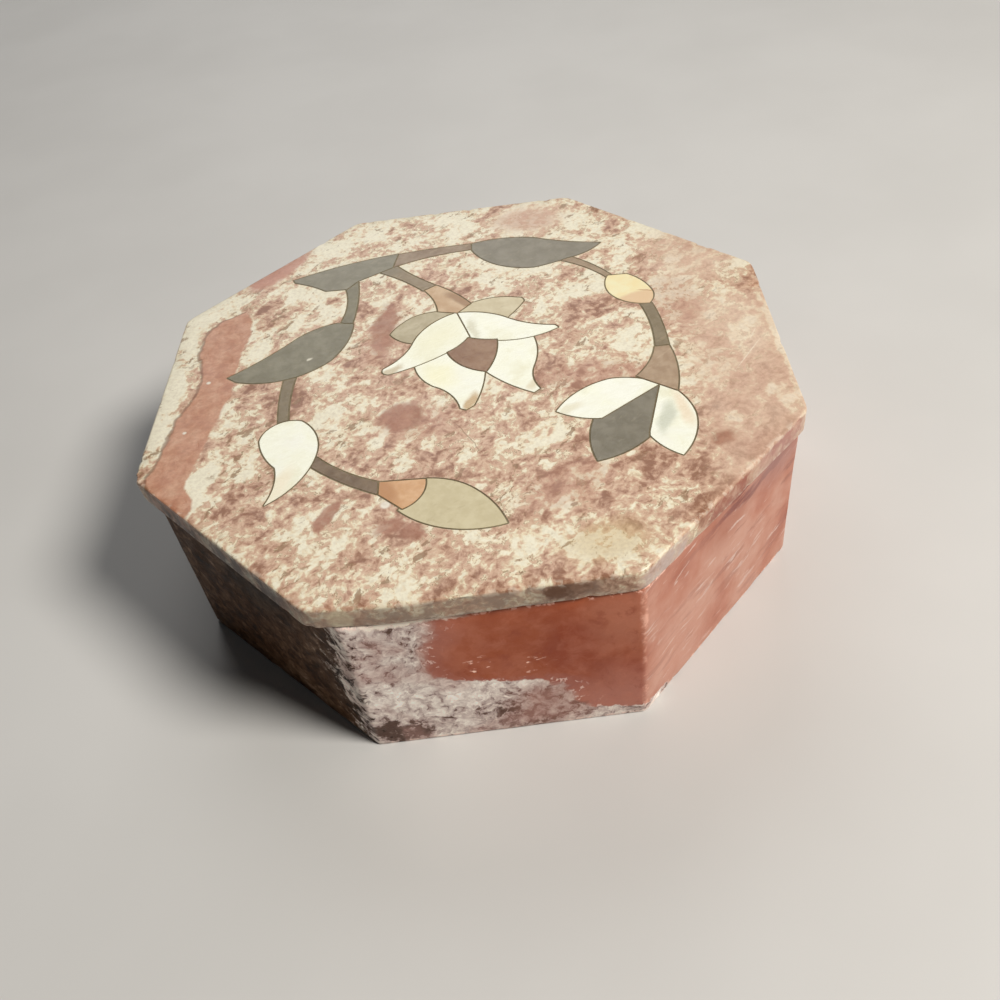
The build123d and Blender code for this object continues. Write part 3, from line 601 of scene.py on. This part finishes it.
def lid_stone():
    """Pink ground mottled with cream, mauve and olive strokes that slant to the back right, creamy
    at the left and the back and lighter towards the back with a painted sheen, smooth at the right,
    with a brick red band and blotches, and painted shade on the front left edge."""
    material, bench, shader = new_finish("lid_soapstone")
    maths, ramp, clouds = bench.maths, bench.ramp, bench.clouds
    where = place_in_mm(bench, LID_SHIFT, LID_TURN)
    wandering = bench.warped(where, 7, 1.8, 1)
    crumbled = bench.warped(wandering, 1.6, 0.8, 2)
    slant = 50
    slanted = bench.stretched(crumbled, slant, 1.6)
    x, y = bench.part(where, "X"), bench.part(where, "Y")

    def region(*place):
        return patch(bench, wandering, *place, 0, 0.6)

    # how creamy a place is: three sizes of mottling, regions that lean one way, a painted sheen
    # that lightens it towards the back, and patches
    right_end = maths("MULTIPLY", ramp(x, 40, 50), ramp(y, 22, 6))
    calm = most_of(bench, [right_end, region(16, 55, 8, 7), region(52, 32, 10, 12)])
    strength = ramp(calm, 0, 1, 1.85, 1.15)
    mottling = bench.blend(
        (0.28, clouds(slanted, 7, 3, 0.55, 3)),
        (0.44, clouds(slanted, 2.8, 4, 0.60, 4)),
        (0.28, clouds(crumbled, 1.2, 3, 0.6, 5)),
        (-0.5, 1.0),
    )
    cream_patches = [
        (-57, 31, 6, 6, 40), (-63, 3, 2.6, 24), (-33, 51.5, 5, 3.6, 40), (28.5, 51, 6, 4, -40),
        (43, 43.5, 4, 3, -50), (36.3, 35.5, 1.6, 5.5), (46.5, 20, 4, 1.3, 35),
        (25.5, 23.5, 7, 3.4, 55), (10, 31, 8, 3.4, 15), (-50.0, -29.5, 2.6, 5),
        (-49.5, -11, 2.3, 6), (-27, -14.5, 2.2, 4.4, -15), (-18, -25, 1.6, 4, -30),
        (-11.5, -29.5, 2.6, 4), (23.5, -55, 5.0, 2.6, 15), (16, -54, 6.5, 0.7, -55),
        (63.4, -8, 0.9, 20), (61.3, -25, 1.8, 5, 10),
    ]
    cream_dots = [
        (-19.5, 57.5, 4.2), (-3.5, 56.5, 5.5), (1.5, 54.5, 3.0), (-22.5, -42.5, 1.8),
        (17.8, -27, 1.8), (15, -34.3, 1.6), (24.3, -41.5, 1.4), (50, -26.5, 1.6),
        (31, 9.5, 1.9), (35.5, 4, 1.8), (33, -1, 1.5), (38, 10, 1.5), (45, 8, 1.9),
        (51.6, 6.5, 1.4), (59.5, -20, 2.2),
    ]
    dark_patches = [
        (-12.5, 54.5, 5, 1.7, 65), (33.3, 32.3, 1.5, 2.8), (36, 47.5, 6, 1.1, 35),
        (35, 44.5, 4, 1.0, 25), (7.5, 27.5, 5.5, 1.0, 38), (-46, 29, 5, 1.2, 55),
        (-45.5, 24, 5, 1.3, 60), (-17, -27.5, 5.5, 1.0, 55), (-45, -35.5, 4.5, 1.1, 65),
        (-41, -31.5, 3.4, 0.8), (-11, -48, 4, 2.6, 20),
    ]
    dark_dots = [
        (-28.5, 51.5, 2.7), (27, 14.5, 4.2), (-44.5, -20.5, 3.2), (16.5, -39, 3.2),
        (12.5, -46, 2.3), (28, -52, 1.8),
    ]
    leanings = [
        (0.050, (-62, 0, 6, 50)), (0.030, (-45, -22, 8, 26)), (0.045, (-30, 50, 26, 12)),
        (0.050, (-20, -24, 16, 12)), (0.020, (24, 34, 20, 10)), (0.055, (0, -55, 22, 7)),
        (-0.030, (24, -9, 13, 5)), (0.015, (14, -32, 20, 14)), (0.045, (-35, 25, 9, 9)),
        (-0.035, (-43, -8, 5, 9)), (0.020, (58, 16, 9, 12)),
    ]
    # a painted sheen: the top grows lighter towards the back
    lean = maths("MULTIPLY_ADD", ramp(y, -45, 55), 0.062, 0.498)
    for weight, place in leanings:
        lean = maths("MULTIPLY_ADD", region(*place), weight, lean)
    creamy = patches(bench, crumbled, cream_patches)
    creamy = maths("MAXIMUM", creamy, dots(bench, crumbled, cream_dots))
    lean = maths("MULTIPLY_ADD", creamy, 0.110, lean)
    darker = patches(bench, crumbled, dark_patches)
    darker = maths("MAXIMUM", darker, dots(bench, crumbled, dark_dots))
    lean = maths("MULTIPLY_ADD", darker, -0.075, lean)
    level = maths("MULTIPLY_ADD", mottling, strength, lean)
    colour = bench.tones(level, stone_stops(
        TOP_LIGHT, (0.35, 162, 122, 102), (0.41, 188, 149, 126), (0.45, 208, 170, 147),
        (0.50, 224, 190, 164), (0.54, 231, 204, 176), (0.565, 245, 229, 197),
        (0.64, 253, 246, 222),
    ))
    smooth = bench.tones(clouds(wandering, 12, 3, 0.5, 6), stone_stops(
        TOP_LIGHT, (0.36, 222, 187, 167), (0.52, 236, 206, 184), (0.66, 247, 225, 203),
    ))
    colour = bench.stained(colour, smooth, calm, 0.5)

    # olive brown strokes, and dark lines that follow part of the cream's edges
    stroke = clouds(bench.stretched(crumbled, slant, 2.3), 1.5, 4, 0.62, 7)
    gathered = ramp(clouds(wandering, 9, 2, 0.5, 8), 0.36, 0.58)
    vivid = ramp(calm, 0, 1, 1.0, 0.3)
    strokes = maths("MULTIPLY", ramp(stroke, 0.575, 0.625), gathered)
    strokes = maths("MULTIPLY", strokes, vivid)
    colour = bench.stained(colour, top_colour(160, 130, 102), strokes, 0.8)
    off_edge = maths("ABSOLUTE", maths("SUBTRACT", level, 0.550))
    broken = ramp(clouds(where, 4, 3, 0.6, 9), 0.46, 0.56)
    outline = maths("MULTIPLY", ramp(off_edge, 0.010, 0.002), broken)
    outline = maths("MULTIPLY", outline, vivid)
    colour = bench.stained(colour, top_colour(140, 112, 88), outline, 0.8)

    # the brick red band down the left, crisp at its edges, with a dark line at its left
    band_middle = curve_through(bench, y, [
        (-70, -50), (-36, -54), (-30, -57.4), (-20, -56.4), (-10, -55), (0, -53), (8, -53.5),
        (15, -54), (20, -53.5), (26, -52), (33, -47), (70, -40),
    ])
    band_half = curve_through(bench, y, [
        (-70, -4), (-44, -2), (-40, 1.0), (-34, 3.3), (-20, 4.2), (-10, 4.4), (0, 3.8), (8, 4.0),
        (15, 5.3), (20, 5.2), (24, 4.0), (27, 1.0), (30, -2), (40, -4), (70, -4),
    ])
    band_x = bench.part(bench.warped(where, 3.2, 1.2, 10), "X")
    from_middle = maths("SUBTRACT", band_x, band_middle)
    into_band = maths("SUBTRACT", band_half, maths("ABSOLUTE", from_middle))
    band = ramp(into_band, -0.25, 0.45)
    rim = ramp(maths("ABSOLUTE", into_band), 0.55, 0.15)
    rim = maths("MULTIPLY", rim, ramp(from_middle, 0.2, -0.2))

    # pinker, olive and rosy places, and the brown red blotches
    pinker = patches(bench, crumbled, [
        (24, -9, 13, 4), (-10, -18, 8, 5, 0), (-18, 12, 10, 4, 80), (18, -40, 9, 5, 30),
        (45, 14, 6, 9), (15, 55, 8, 5),
    ])
    colour = bench.stained(colour, top_colour(200, 152, 132), pinker, 0.35)
    olive = patch(bench, crumbled, 23.5, -54.5, 7, 4.4, 10, 0.5)
    colour = bench.stained(colour, top_colour(216, 190, 142), olive, 0.5)
    rosy = patch(bench, crumbled, -45, 44.5, 10, 3.4, 52, 0.25)
    colour = bench.stained(colour, top_colour(208, 156, 138), rosy, 0.9)
    blotched = patches(bench, crumbled, [
        (-18, 15, 9.5, 2.7, 86, 0.3), (-13, -16, 4.4, 4.2, 0, 0.2), (-25.3, -42, 3.8, 1.7, 60, 0.2),
        (-14, -46, 3.0, 2.2, 30), (-10, -48, 2.5, 2.0), (47, -32, 2.6, 1.6, 30, 0.6),
    ])
    mix = clouds(crumbled, 2.4, 5, 0.62, 11)
    brown_red = bench.tones(mix, stone_stops(
        TOP_LIGHT, (0.38, 168, 118, 98), (0.62, 190, 142, 120),
    ))
    brick = bench.tones(mix, stone_stops(
        TOP_LIGHT, (0.36, 194, 140, 116), (0.50, 208, 156, 130), (0.66, 222, 176, 150),
    ))
    colour = bench.stained(colour, brown_red, blotched, 0.85)
    colour = bench.stained(colour, brick, band, 0.95)
    colour = bench.stained(colour, top_colour(132, 96, 76), rim, 0.6)

    # patches on the slab's edges, the dark one at the front left painted shade, white chips, fine
    # grain and rubbed edges
    mottled = ramp(clouds(crumbled, 2.4, 4, 0.6, 16), 0.40, 0.58, 0.45, 0.95)
    on_edge = maths("MULTIPLY", ramp(bench.part(where, "Z"), 40.9, 40.3), mottled)
    for middle, reach, turn, levels in (
        # painted shade: the front left edge, which faces away from the light, darkened
        ((-46, -46, 38.6), (23, 5, 8), -45, (84, 66, 54)),
        ((-3, -64, 38.6), (26, 5, 8), 0, (168, 147, 132)),
        ((-21.5, -64, 38.6), (2, 5, 3), 0, (236, 222, 190)),
        ((15.5, -63, 39.2), (4.4, 5, 2.4), 0, (116, 86, 60)),
        ((33, -58, 38.6), (6, 5, 5), 45, (208, 188, 180)),
        ((46, -46, 38.6), (8, 5, 4), 45, (168, 104, 88)),
        ((58, -33, 38.6), (8, 5, 5), 45, (192, 142, 132)),
    ):
        share = spot(bench, crumbled, middle, reach, turn, 0.3)
        colour = bench.stained(colour, top_colour(*levels), share, on_edge)
    chips = dots(bench, where, [
        (-32.3, 6.8, 0.7), (-14.8, -40.5, 0.9), (-55, 2, 0.45), (-57, -14, 0.4),
    ])
    colour = bench.stained(colour, top_colour(252, 246, 230), chips, 0.9)
    scratch_places = ((56.8, -7.7, 5.0, 0.13, 54), (58.8, -1.6, 2.0, 0.09, 62))
    scratches = patches(bench, where, scratch_places, 0.5)
    colour = bench.stained(colour, top_colour(250, 234, 214), scratches, 0.8)
    crack = patch(bench, wandering, 0.2, -24, 6.2, 0.12, 118, 0.5)
    colour = bench.stained(colour, top_colour(150, 118, 96), crack, 0.6)
    fine = clouds(where, 0.7, 4, 0.65, 12)
    colour = bench.tint(ramp(fine, 0.36, 0.60, 0.16, 0.0), colour, top_colour(150, 116, 94))
    worn = worn_edges(bench, where, 13)
    colour = bench.stained(colour, top_colour(244, 230, 210), worn, 0.4)
    bench.feed(shader.inputs["Base Color"], colour)
    vary_roughness(bench, shader, clouds(where, 4, 5, 0.6, 14), 0.34, 0.48)
    shader.inputs["Specular IOR Level"].default_value = 0.5
    relief = maths("ADD", clouds(where, 1.2, 4, 0.6, 15), maths("MULTIPLY", strokes, -0.6))
    add_relief(bench, shader, relief, 0.4, 0.12 * MM)
    return material


def pocket_plug():
    """A block with the inlay pocket's outline, standing on its floor and rising past the top."""
    work = bmesh.new()
    work.from_mesh(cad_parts["lid"].data)
    bmesh.ops.remove_doubles(work, verts=work.verts, dist=0.001 * MM)

    def off_floor(face):
        return any(abs(corner.co.z - POCKET_FLOOR) > 0.01 * MM for corner in face.verts)

    others = [face for face in work.faces if off_floor(face)]
    bmesh.ops.delete(work, geom=others, context="FACES")
    raised = bmesh.ops.extrude_face_region(work, geom=work.faces[:])["geom"]
    for part in raised:
        if isinstance(part, bmesh.types.BMVert):
            part.co.z = LID_TOP + 2 * MM
    bmesh.ops.recalc_face_normals(work, faces=work.faces)
    mesh = bpy.data.meshes.new("pocket_plug")
    work.to_mesh(mesh)
    work.free()
    # normals kept from the CAD would be carried over to the cut slab
    for attribute in [a for a in mesh.attributes if a.name == "custom_normal"]:
        mesh.attributes.remove(attribute)
    return mesh


def cut_pocket(piece):
    """Takes the inlay pocket out of the slab."""
    plug = bpy.data.objects.new("pocket_plug", pocket_plug())
    bpy.context.scene.collection.objects.link(plug)
    cutter = piece.modifiers.new("pocket", "BOOLEAN")
    cutter.operation, cutter.solver, cutter.object = "DIFFERENCE", "EXACT", plug
    mesh = plain_mesh(piece, piece.data.materials[0])
    bpy.data.objects.remove(plug)
    largest_smooth_angle = math.radians(32)
    mesh.set_sharp_from_angle(angle=largest_smooth_angle)


lid = cut_stone("stone_lid", octagon_stone, {
    "First Corner": (STEP_HALF_WIDTH, STEP_UNDER, 0.8 * MM),
    "Second Corner": (STEP_HALF_WIDTH, LID_UNDER, 0.0),
    "Third Corner": (LID_HALF_WIDTH, LID_UNDER, 0.6 * MM),
    "Fourth Corner": (LID_HALF_WIDTH, LID_TOP, 0.7 * MM),
    "First Rounding": 5 * MM,
    "Second Rounding": 4 * MM,
    **{name + " Cut": cut * MM for name, (cut, turn) in LID_SIDES.items()},
    **{name + " Turn": math.radians(turn) for name, (cut, turn) in LID_SIDES.items()},
    "Steps A Side": 64,
    "Wobble": 0.3 * MM,
    "Chip Depth": 0.5 * MM,
    "Seed": 11.0,
    "Seat": LID_SHIFT,
    "Turn": (0.0, 0.0, math.radians(LID_TURN)),
    "Stone": lid_stone(),
})
cut_pocket(lid)
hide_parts("lid")
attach(lid, "lid")


# ---------------------------------------------------------------------------------------------
# The cement: the bed under the tiles and the hairline joints round them, one olive brown piece,
# spread while soft and rubbed down with the tiles.
# ---------------------------------------------------------------------------------------------

def dress(node, material):
    """Gives a CAD solid its one material."""
    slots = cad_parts[node].data.materials
    slots.clear()
    slots.append(material)


def cement_finish():
    """Gritty cement, a little darker in the joints round the shell than elsewhere."""
    material, bench, shader = new_finish("inlay_cement")
    where = place_in_mm(bench, LID_SHIFT, LID_TURN)
    grit = bench.clouds(where, 0.7, 4, 0.6, 1)
    near_shell = patches(bench, where, (
        (1, 3, 21, 19.5, 0), (-35, -26, 8, 13, 0), (32, -22, 15, 14, 0), (-4, -40, 14, 9, 0),
    ), 0.15)
    grain = bench.ramp(grit, 0.35, 0.65)
    pale = bench.tint(grain, top_colour(136, 126, 104), top_colour(154, 142, 118))
    dark = bench.tint(grain, top_colour(124, 113, 93), top_colour(140, 128, 106))
    bench.feed(shader.inputs["Base Color"], bench.tint(near_shell, pale, dark))
    shader.inputs["Roughness"].default_value = 0.75
    add_relief(bench, shader, grit, 0.3, 0.1 * MM)
    return material


dress("inlay_cement", cement_finish())


# ---------------------------------------------------------------------------------------------
# The stone tiles: leaves, stems, cups and buds, sawn from thin dark, brown, sage, amber and red
# stone, cemented into the pocket and ground flush with the lid.
# ---------------------------------------------------------------------------------------------

SEEDS_A_TILE = 5
FIRST_STONE_SEED = 20


def tile_stone(name, base, mottle, vein, seed, accents):
    """Fine-grained stone: a base colour, soft mottling, thin veins and differing patches."""
    material, bench, shader = new_finish(name)
    where = place_in_mm(bench, LID_SHIFT, LID_TURN)
    wandering = bench.warped(where, 5, 1.4, seed)
    cloud = bench.clouds(wandering, 3, 5, 0.6, seed + 1)
    colour = bench.tint(bench.ramp(cloud, 0.35, 0.68), top_colour(*base), top_colour(*mottle))
    streak = bench.clouds(bench.stretched(wandering, 40, 2.5), 1.4, 4, 0.6, seed + 2)
    colour = bench.stained(colour, top_colour(*vein), bench.ramp(streak, 0.58, 0.70), 0.5)
    for place, levels in accents:
        colour = bench.tint(patch(bench, wandering, *place), colour, top_colour(*levels))
    bench.feed(shader.inputs["Base Color"], colour)
    fine = bench.clouds(where, 0.6, 3, 0.6, seed + 3)
    vary_roughness(bench, shader, fine, 0.32, 0.44)
    add_relief(bench, shader, fine, 0.15, 0.06 * MM)
    return material


STONE_TILES = {
    # tile: base, mottling and vein colours as they look under the light
    "branch_leaf": ((140, 134, 116), (154, 148, 130), (168, 158, 136)),
    "top_leaf": ((140, 133, 117), (154, 147, 131), (168, 158, 138)),
    "left_stem": ((134, 127, 106), (148, 141, 118), (160, 150, 126)),
    "left_leaf": ((134, 128, 108), (150, 144, 124), (166, 156, 134)),
    "bud_stem": ((134, 120, 96), (150, 136, 112), (164, 148, 122)),
    "lower_stem": ((122, 102, 82), (142, 122, 100), (160, 138, 114)),
    "bud_stalk": ((160, 138, 112), (180, 158, 132), (190, 170, 140)),
    "right_stem": ((142, 128, 104), (160, 146, 122), (176, 158, 130)),
    "tulip_petal_dark": ((130, 123, 107), (145, 138, 122), (158, 150, 132)),
    "branch_stem": ((150, 128, 106), (172, 152, 130), (184, 164, 138)),
    "flower_stem": ((148, 131, 106), (168, 151, 126), (184, 166, 140)),
    "right_calyx": ((174, 148, 122), (192, 168, 142), (206, 182, 156)),
    "lower_leaf": ((210, 197, 160), (222, 210, 174), (196, 182, 146)),
    "flower_sepal_left": ((186, 173, 142), (206, 194, 164), (170, 156, 126)),
    "flower_sepal_right": ((214, 200, 166), (228, 216, 184), (196, 182, 148)),
    "lower_calyx": ((218, 170, 126), (234, 192, 150), (204, 152, 110)),
    "flower_calyx": ((206, 172, 136), (222, 194, 160), (186, 152, 118)),
    "orange_bud": ((255, 237, 184), (255, 246, 202), (250, 222, 170)),
    "flower_centre": ((150, 116, 92), (170, 138, 112), (134, 100, 80)),
}
TILE_PATCHES = {
    # tile: patches of another colour, each a place on the lid and its colour
    "orange_bud": [
        ((37.5, 15.0, 5.5, 3.0, 20, 0.3), (240, 208, 168)),
        ((40.6, 18.0, 2.4, 0.18, -22, 0.5), (200, 150, 110)),
    ],
    "lower_calyx": [((-15.5, -37.0, 2.0, 4.0, 30, 0.5), (200, 150, 108))],
    "flower_calyx": [((-1.0, 22.5, 5.0, 1.1, 130, 0.4), (176, 142, 110))],
    "left_leaf": [((-33.5, 6.2, 0.7, 0.35, 60, 0.5), (226, 220, 200))],
    "flower_stem": [((-19.0, 38.6, 4.0, 2.6, 0, 0.6), (146, 134, 112))],
}
for number, (tile, colours) in enumerate(STONE_TILES.items()):
    seed = FIRST_STONE_SEED + SEEDS_A_TILE * number
    accents = TILE_PATCHES.get(tile, ())
    dress(tile, tile_stone("tile_" + tile, *colours, seed, accents))


# ---------------------------------------------------------------------------------------------
# The shell tiles: petals and the white bud, cut from mother-of-pearl, ivory white with soft
# yellow and grey clouds and a pearly glint.
# ---------------------------------------------------------------------------------------------

FIRST_SHELL_SEED = 150


def pearl(name, seed, accents):
    """Ivory shell in thin layers, with differing patches and a clear glossy coat."""
    material, bench, shader = new_finish(name)
    where = place_in_mm(bench, LID_SHIFT, LID_TURN)
    wandering = bench.warped(where, 8, 3, seed)
    colour = bench.tones(bench.clouds(wandering, 6, 3, 0.5, seed + 1), stone_stops(
        TOP_LIGHT, (0.36, 255, 255, 240), (0.54, 255, 255, 234), (0.72, 244, 241, 212),
    ))
    layers = bench.clouds(bench.stretched(wandering, 25, 6), 0.9, 3, 0.5, seed + 2)
    layered = bench.ramp(layers, 0.46, 0.75, 0.0, 0.12)
    colour = bench.tint(layered, colour, top_colour(240, 230, 198))
    for place, levels in accents:
        colour = bench.tint(patch(bench, wandering, *place), colour, top_colour(*levels))
    bench.feed(shader.inputs["Base Color"], colour)
    vary_roughness(bench, shader, layers, 0.22, 0.36)
    shader.inputs["Coat Weight"].default_value = 0.25
    shader.inputs["Coat Roughness"].default_value = 0.2
    add_relief(bench, shader, layers, 0.12, 0.05 * MM)
    return material


SHELL_TILES = {
    # tile: patches of another colour, each a place on the lid and its colour
    "white_bud": [((-36.0, -33.0, 5.0, 2.0, 70, 0.6), (250, 240, 212))],
    "flower_petal_left": [
        ((-6.0, 9.0, 7.0, 4.0, 50, 0.8), (250, 247, 216)),
        ((-15.5, -0.6, 2.2, 1.0, 30, 0.5), (214, 200, 168)),
    ],
    "flower_petal_right": [((2.5, 11.0, 4.0, 1.0, 100, 0.6), (226, 222, 196))],
    "flower_petal_lower_left": [
        ((0.3, -14.2, 2.6, 1.1, 80, 0.5), (206, 176, 130)),
        ((-5.5, -3.5, 5.0, 2.4, 120, 0.8), (255, 252, 216)),
    ],
    "flower_petal_lower_right": [((13.5, -10.5, 2.0, 1.0, 60, 0.6), (236, 226, 196))],
    "tulip_petal_left": [((20.0, -19.0, 3.0, 1.2, 30, 0.6), (240, 234, 208))],
    "tulip_petal_right": [
        ((37.6, -25.0, 4.6, 1.6, 75, 0.5), (216, 218, 198)),
        ((41.4, -22.0, 5.0, 1.2, 100, 0.7), (248, 232, 204)),
    ],
}
for number, (tile, accents) in enumerate(SHELL_TILES.items()):
    dress(tile, pearl("pearl_" + tile, FIRST_SHELL_SEED + SEEDS_A_TILE * number, accents))


# ---------------------------------------------------------------------------------------------
# The floor, the light and the camera: a plain pale table, a large soft lamp high at the front
# right, a weak one at the left, and a broad one behind for the polished sheen on the lid.
# ---------------------------------------------------------------------------------------------

FLOOR_REACH = 1.6
LAMP_AIM = (0, 0, 0.03)


def pale_floor():
    mesh = bpy.data.meshes.new("floor")
    ways = ((-1, -1), (1, -1), (1, 1), (-1, 1))
    corners = [(FLOOR_REACH * x, FLOOR_REACH * y, 0) for x, y in ways]
    mesh.from_pydata(corners, [], [(0, 1, 2, 3)])
    floor = bpy.data.objects.new("floor", mesh)
    bpy.context.scene.collection.objects.link(floor)
    material, bench, shader = new_finish("pale_floor")
    soft = bench.ramp(bench.clouds(place_in_mm(bench), 60, 3, 0.5, 1), 0.3, 0.7)
    colour = bench.tint(soft, (0.60, 0.585, 0.56, 1), (0.63, 0.615, 0.59, 1))
    bench.feed(shader.inputs["Base Color"], colour)
    shader.inputs["Roughness"].default_value = 0.6
    mesh.materials.append(material)


def soft_lamp(name, place, size, power, colour=(1, 1, 1)):
    """A round area lamp that looks at the box."""
    data = bpy.data.lights.new(name, "AREA")
    data.shape, data.size, data.energy, data.color = "DISK", size, power, colour
    lamp = bpy.data.objects.new(name, data)
    lamp.location = place
    direction = lamp.location - type(lamp.location)(LAMP_AIM)
    lamp.rotation_euler = direction.to_track_quat("Z", "Y").to_euler()
    bpy.context.scene.collection.objects.link(lamp)


pale_floor()
soft_lamp("key_lamp", (0.62, -0.34, 0.80), 0.34, 12.4, (1.0, 0.97, 0.92))
soft_lamp("left_lamp", (-0.9, -0.5, 0.5), 0.6, 0.05)
soft_lamp("back_lamp", (-0.1, 0.95, 0.85), 0.9, 4.7)

world = bpy.data.worlds.new("studio")
bpy.context.scene.world = world
world.use_nodes = True
sky = world.node_tree.nodes["Background"].inputs
sky["Color"].default_value = (0.9, 0.95, 1.0, 1)
sky["Strength"].default_value = 0.03
bpy.context.scene.view_settings.view_transform = "Standard"

# the camera looks from where the photograph was taken, found from the box's corners in it
camera_data = bpy.data.cameras.new("camera")
camera_data.lens, camera_data.sensor_width = 35.175, 36
camera_data.clip_start, camera_data.clip_end = 0.01, 20
camera = bpy.data.objects.new("camera", camera_data)
camera.location = (0.00801, -0.16487, 0.16161)
camera.rotation_euler = [math.radians(a) for a in (45.302, 6.382, -4.281)]
bpy.context.scene.collection.objects.link(camera)
bpy.context.scene.camera = camera
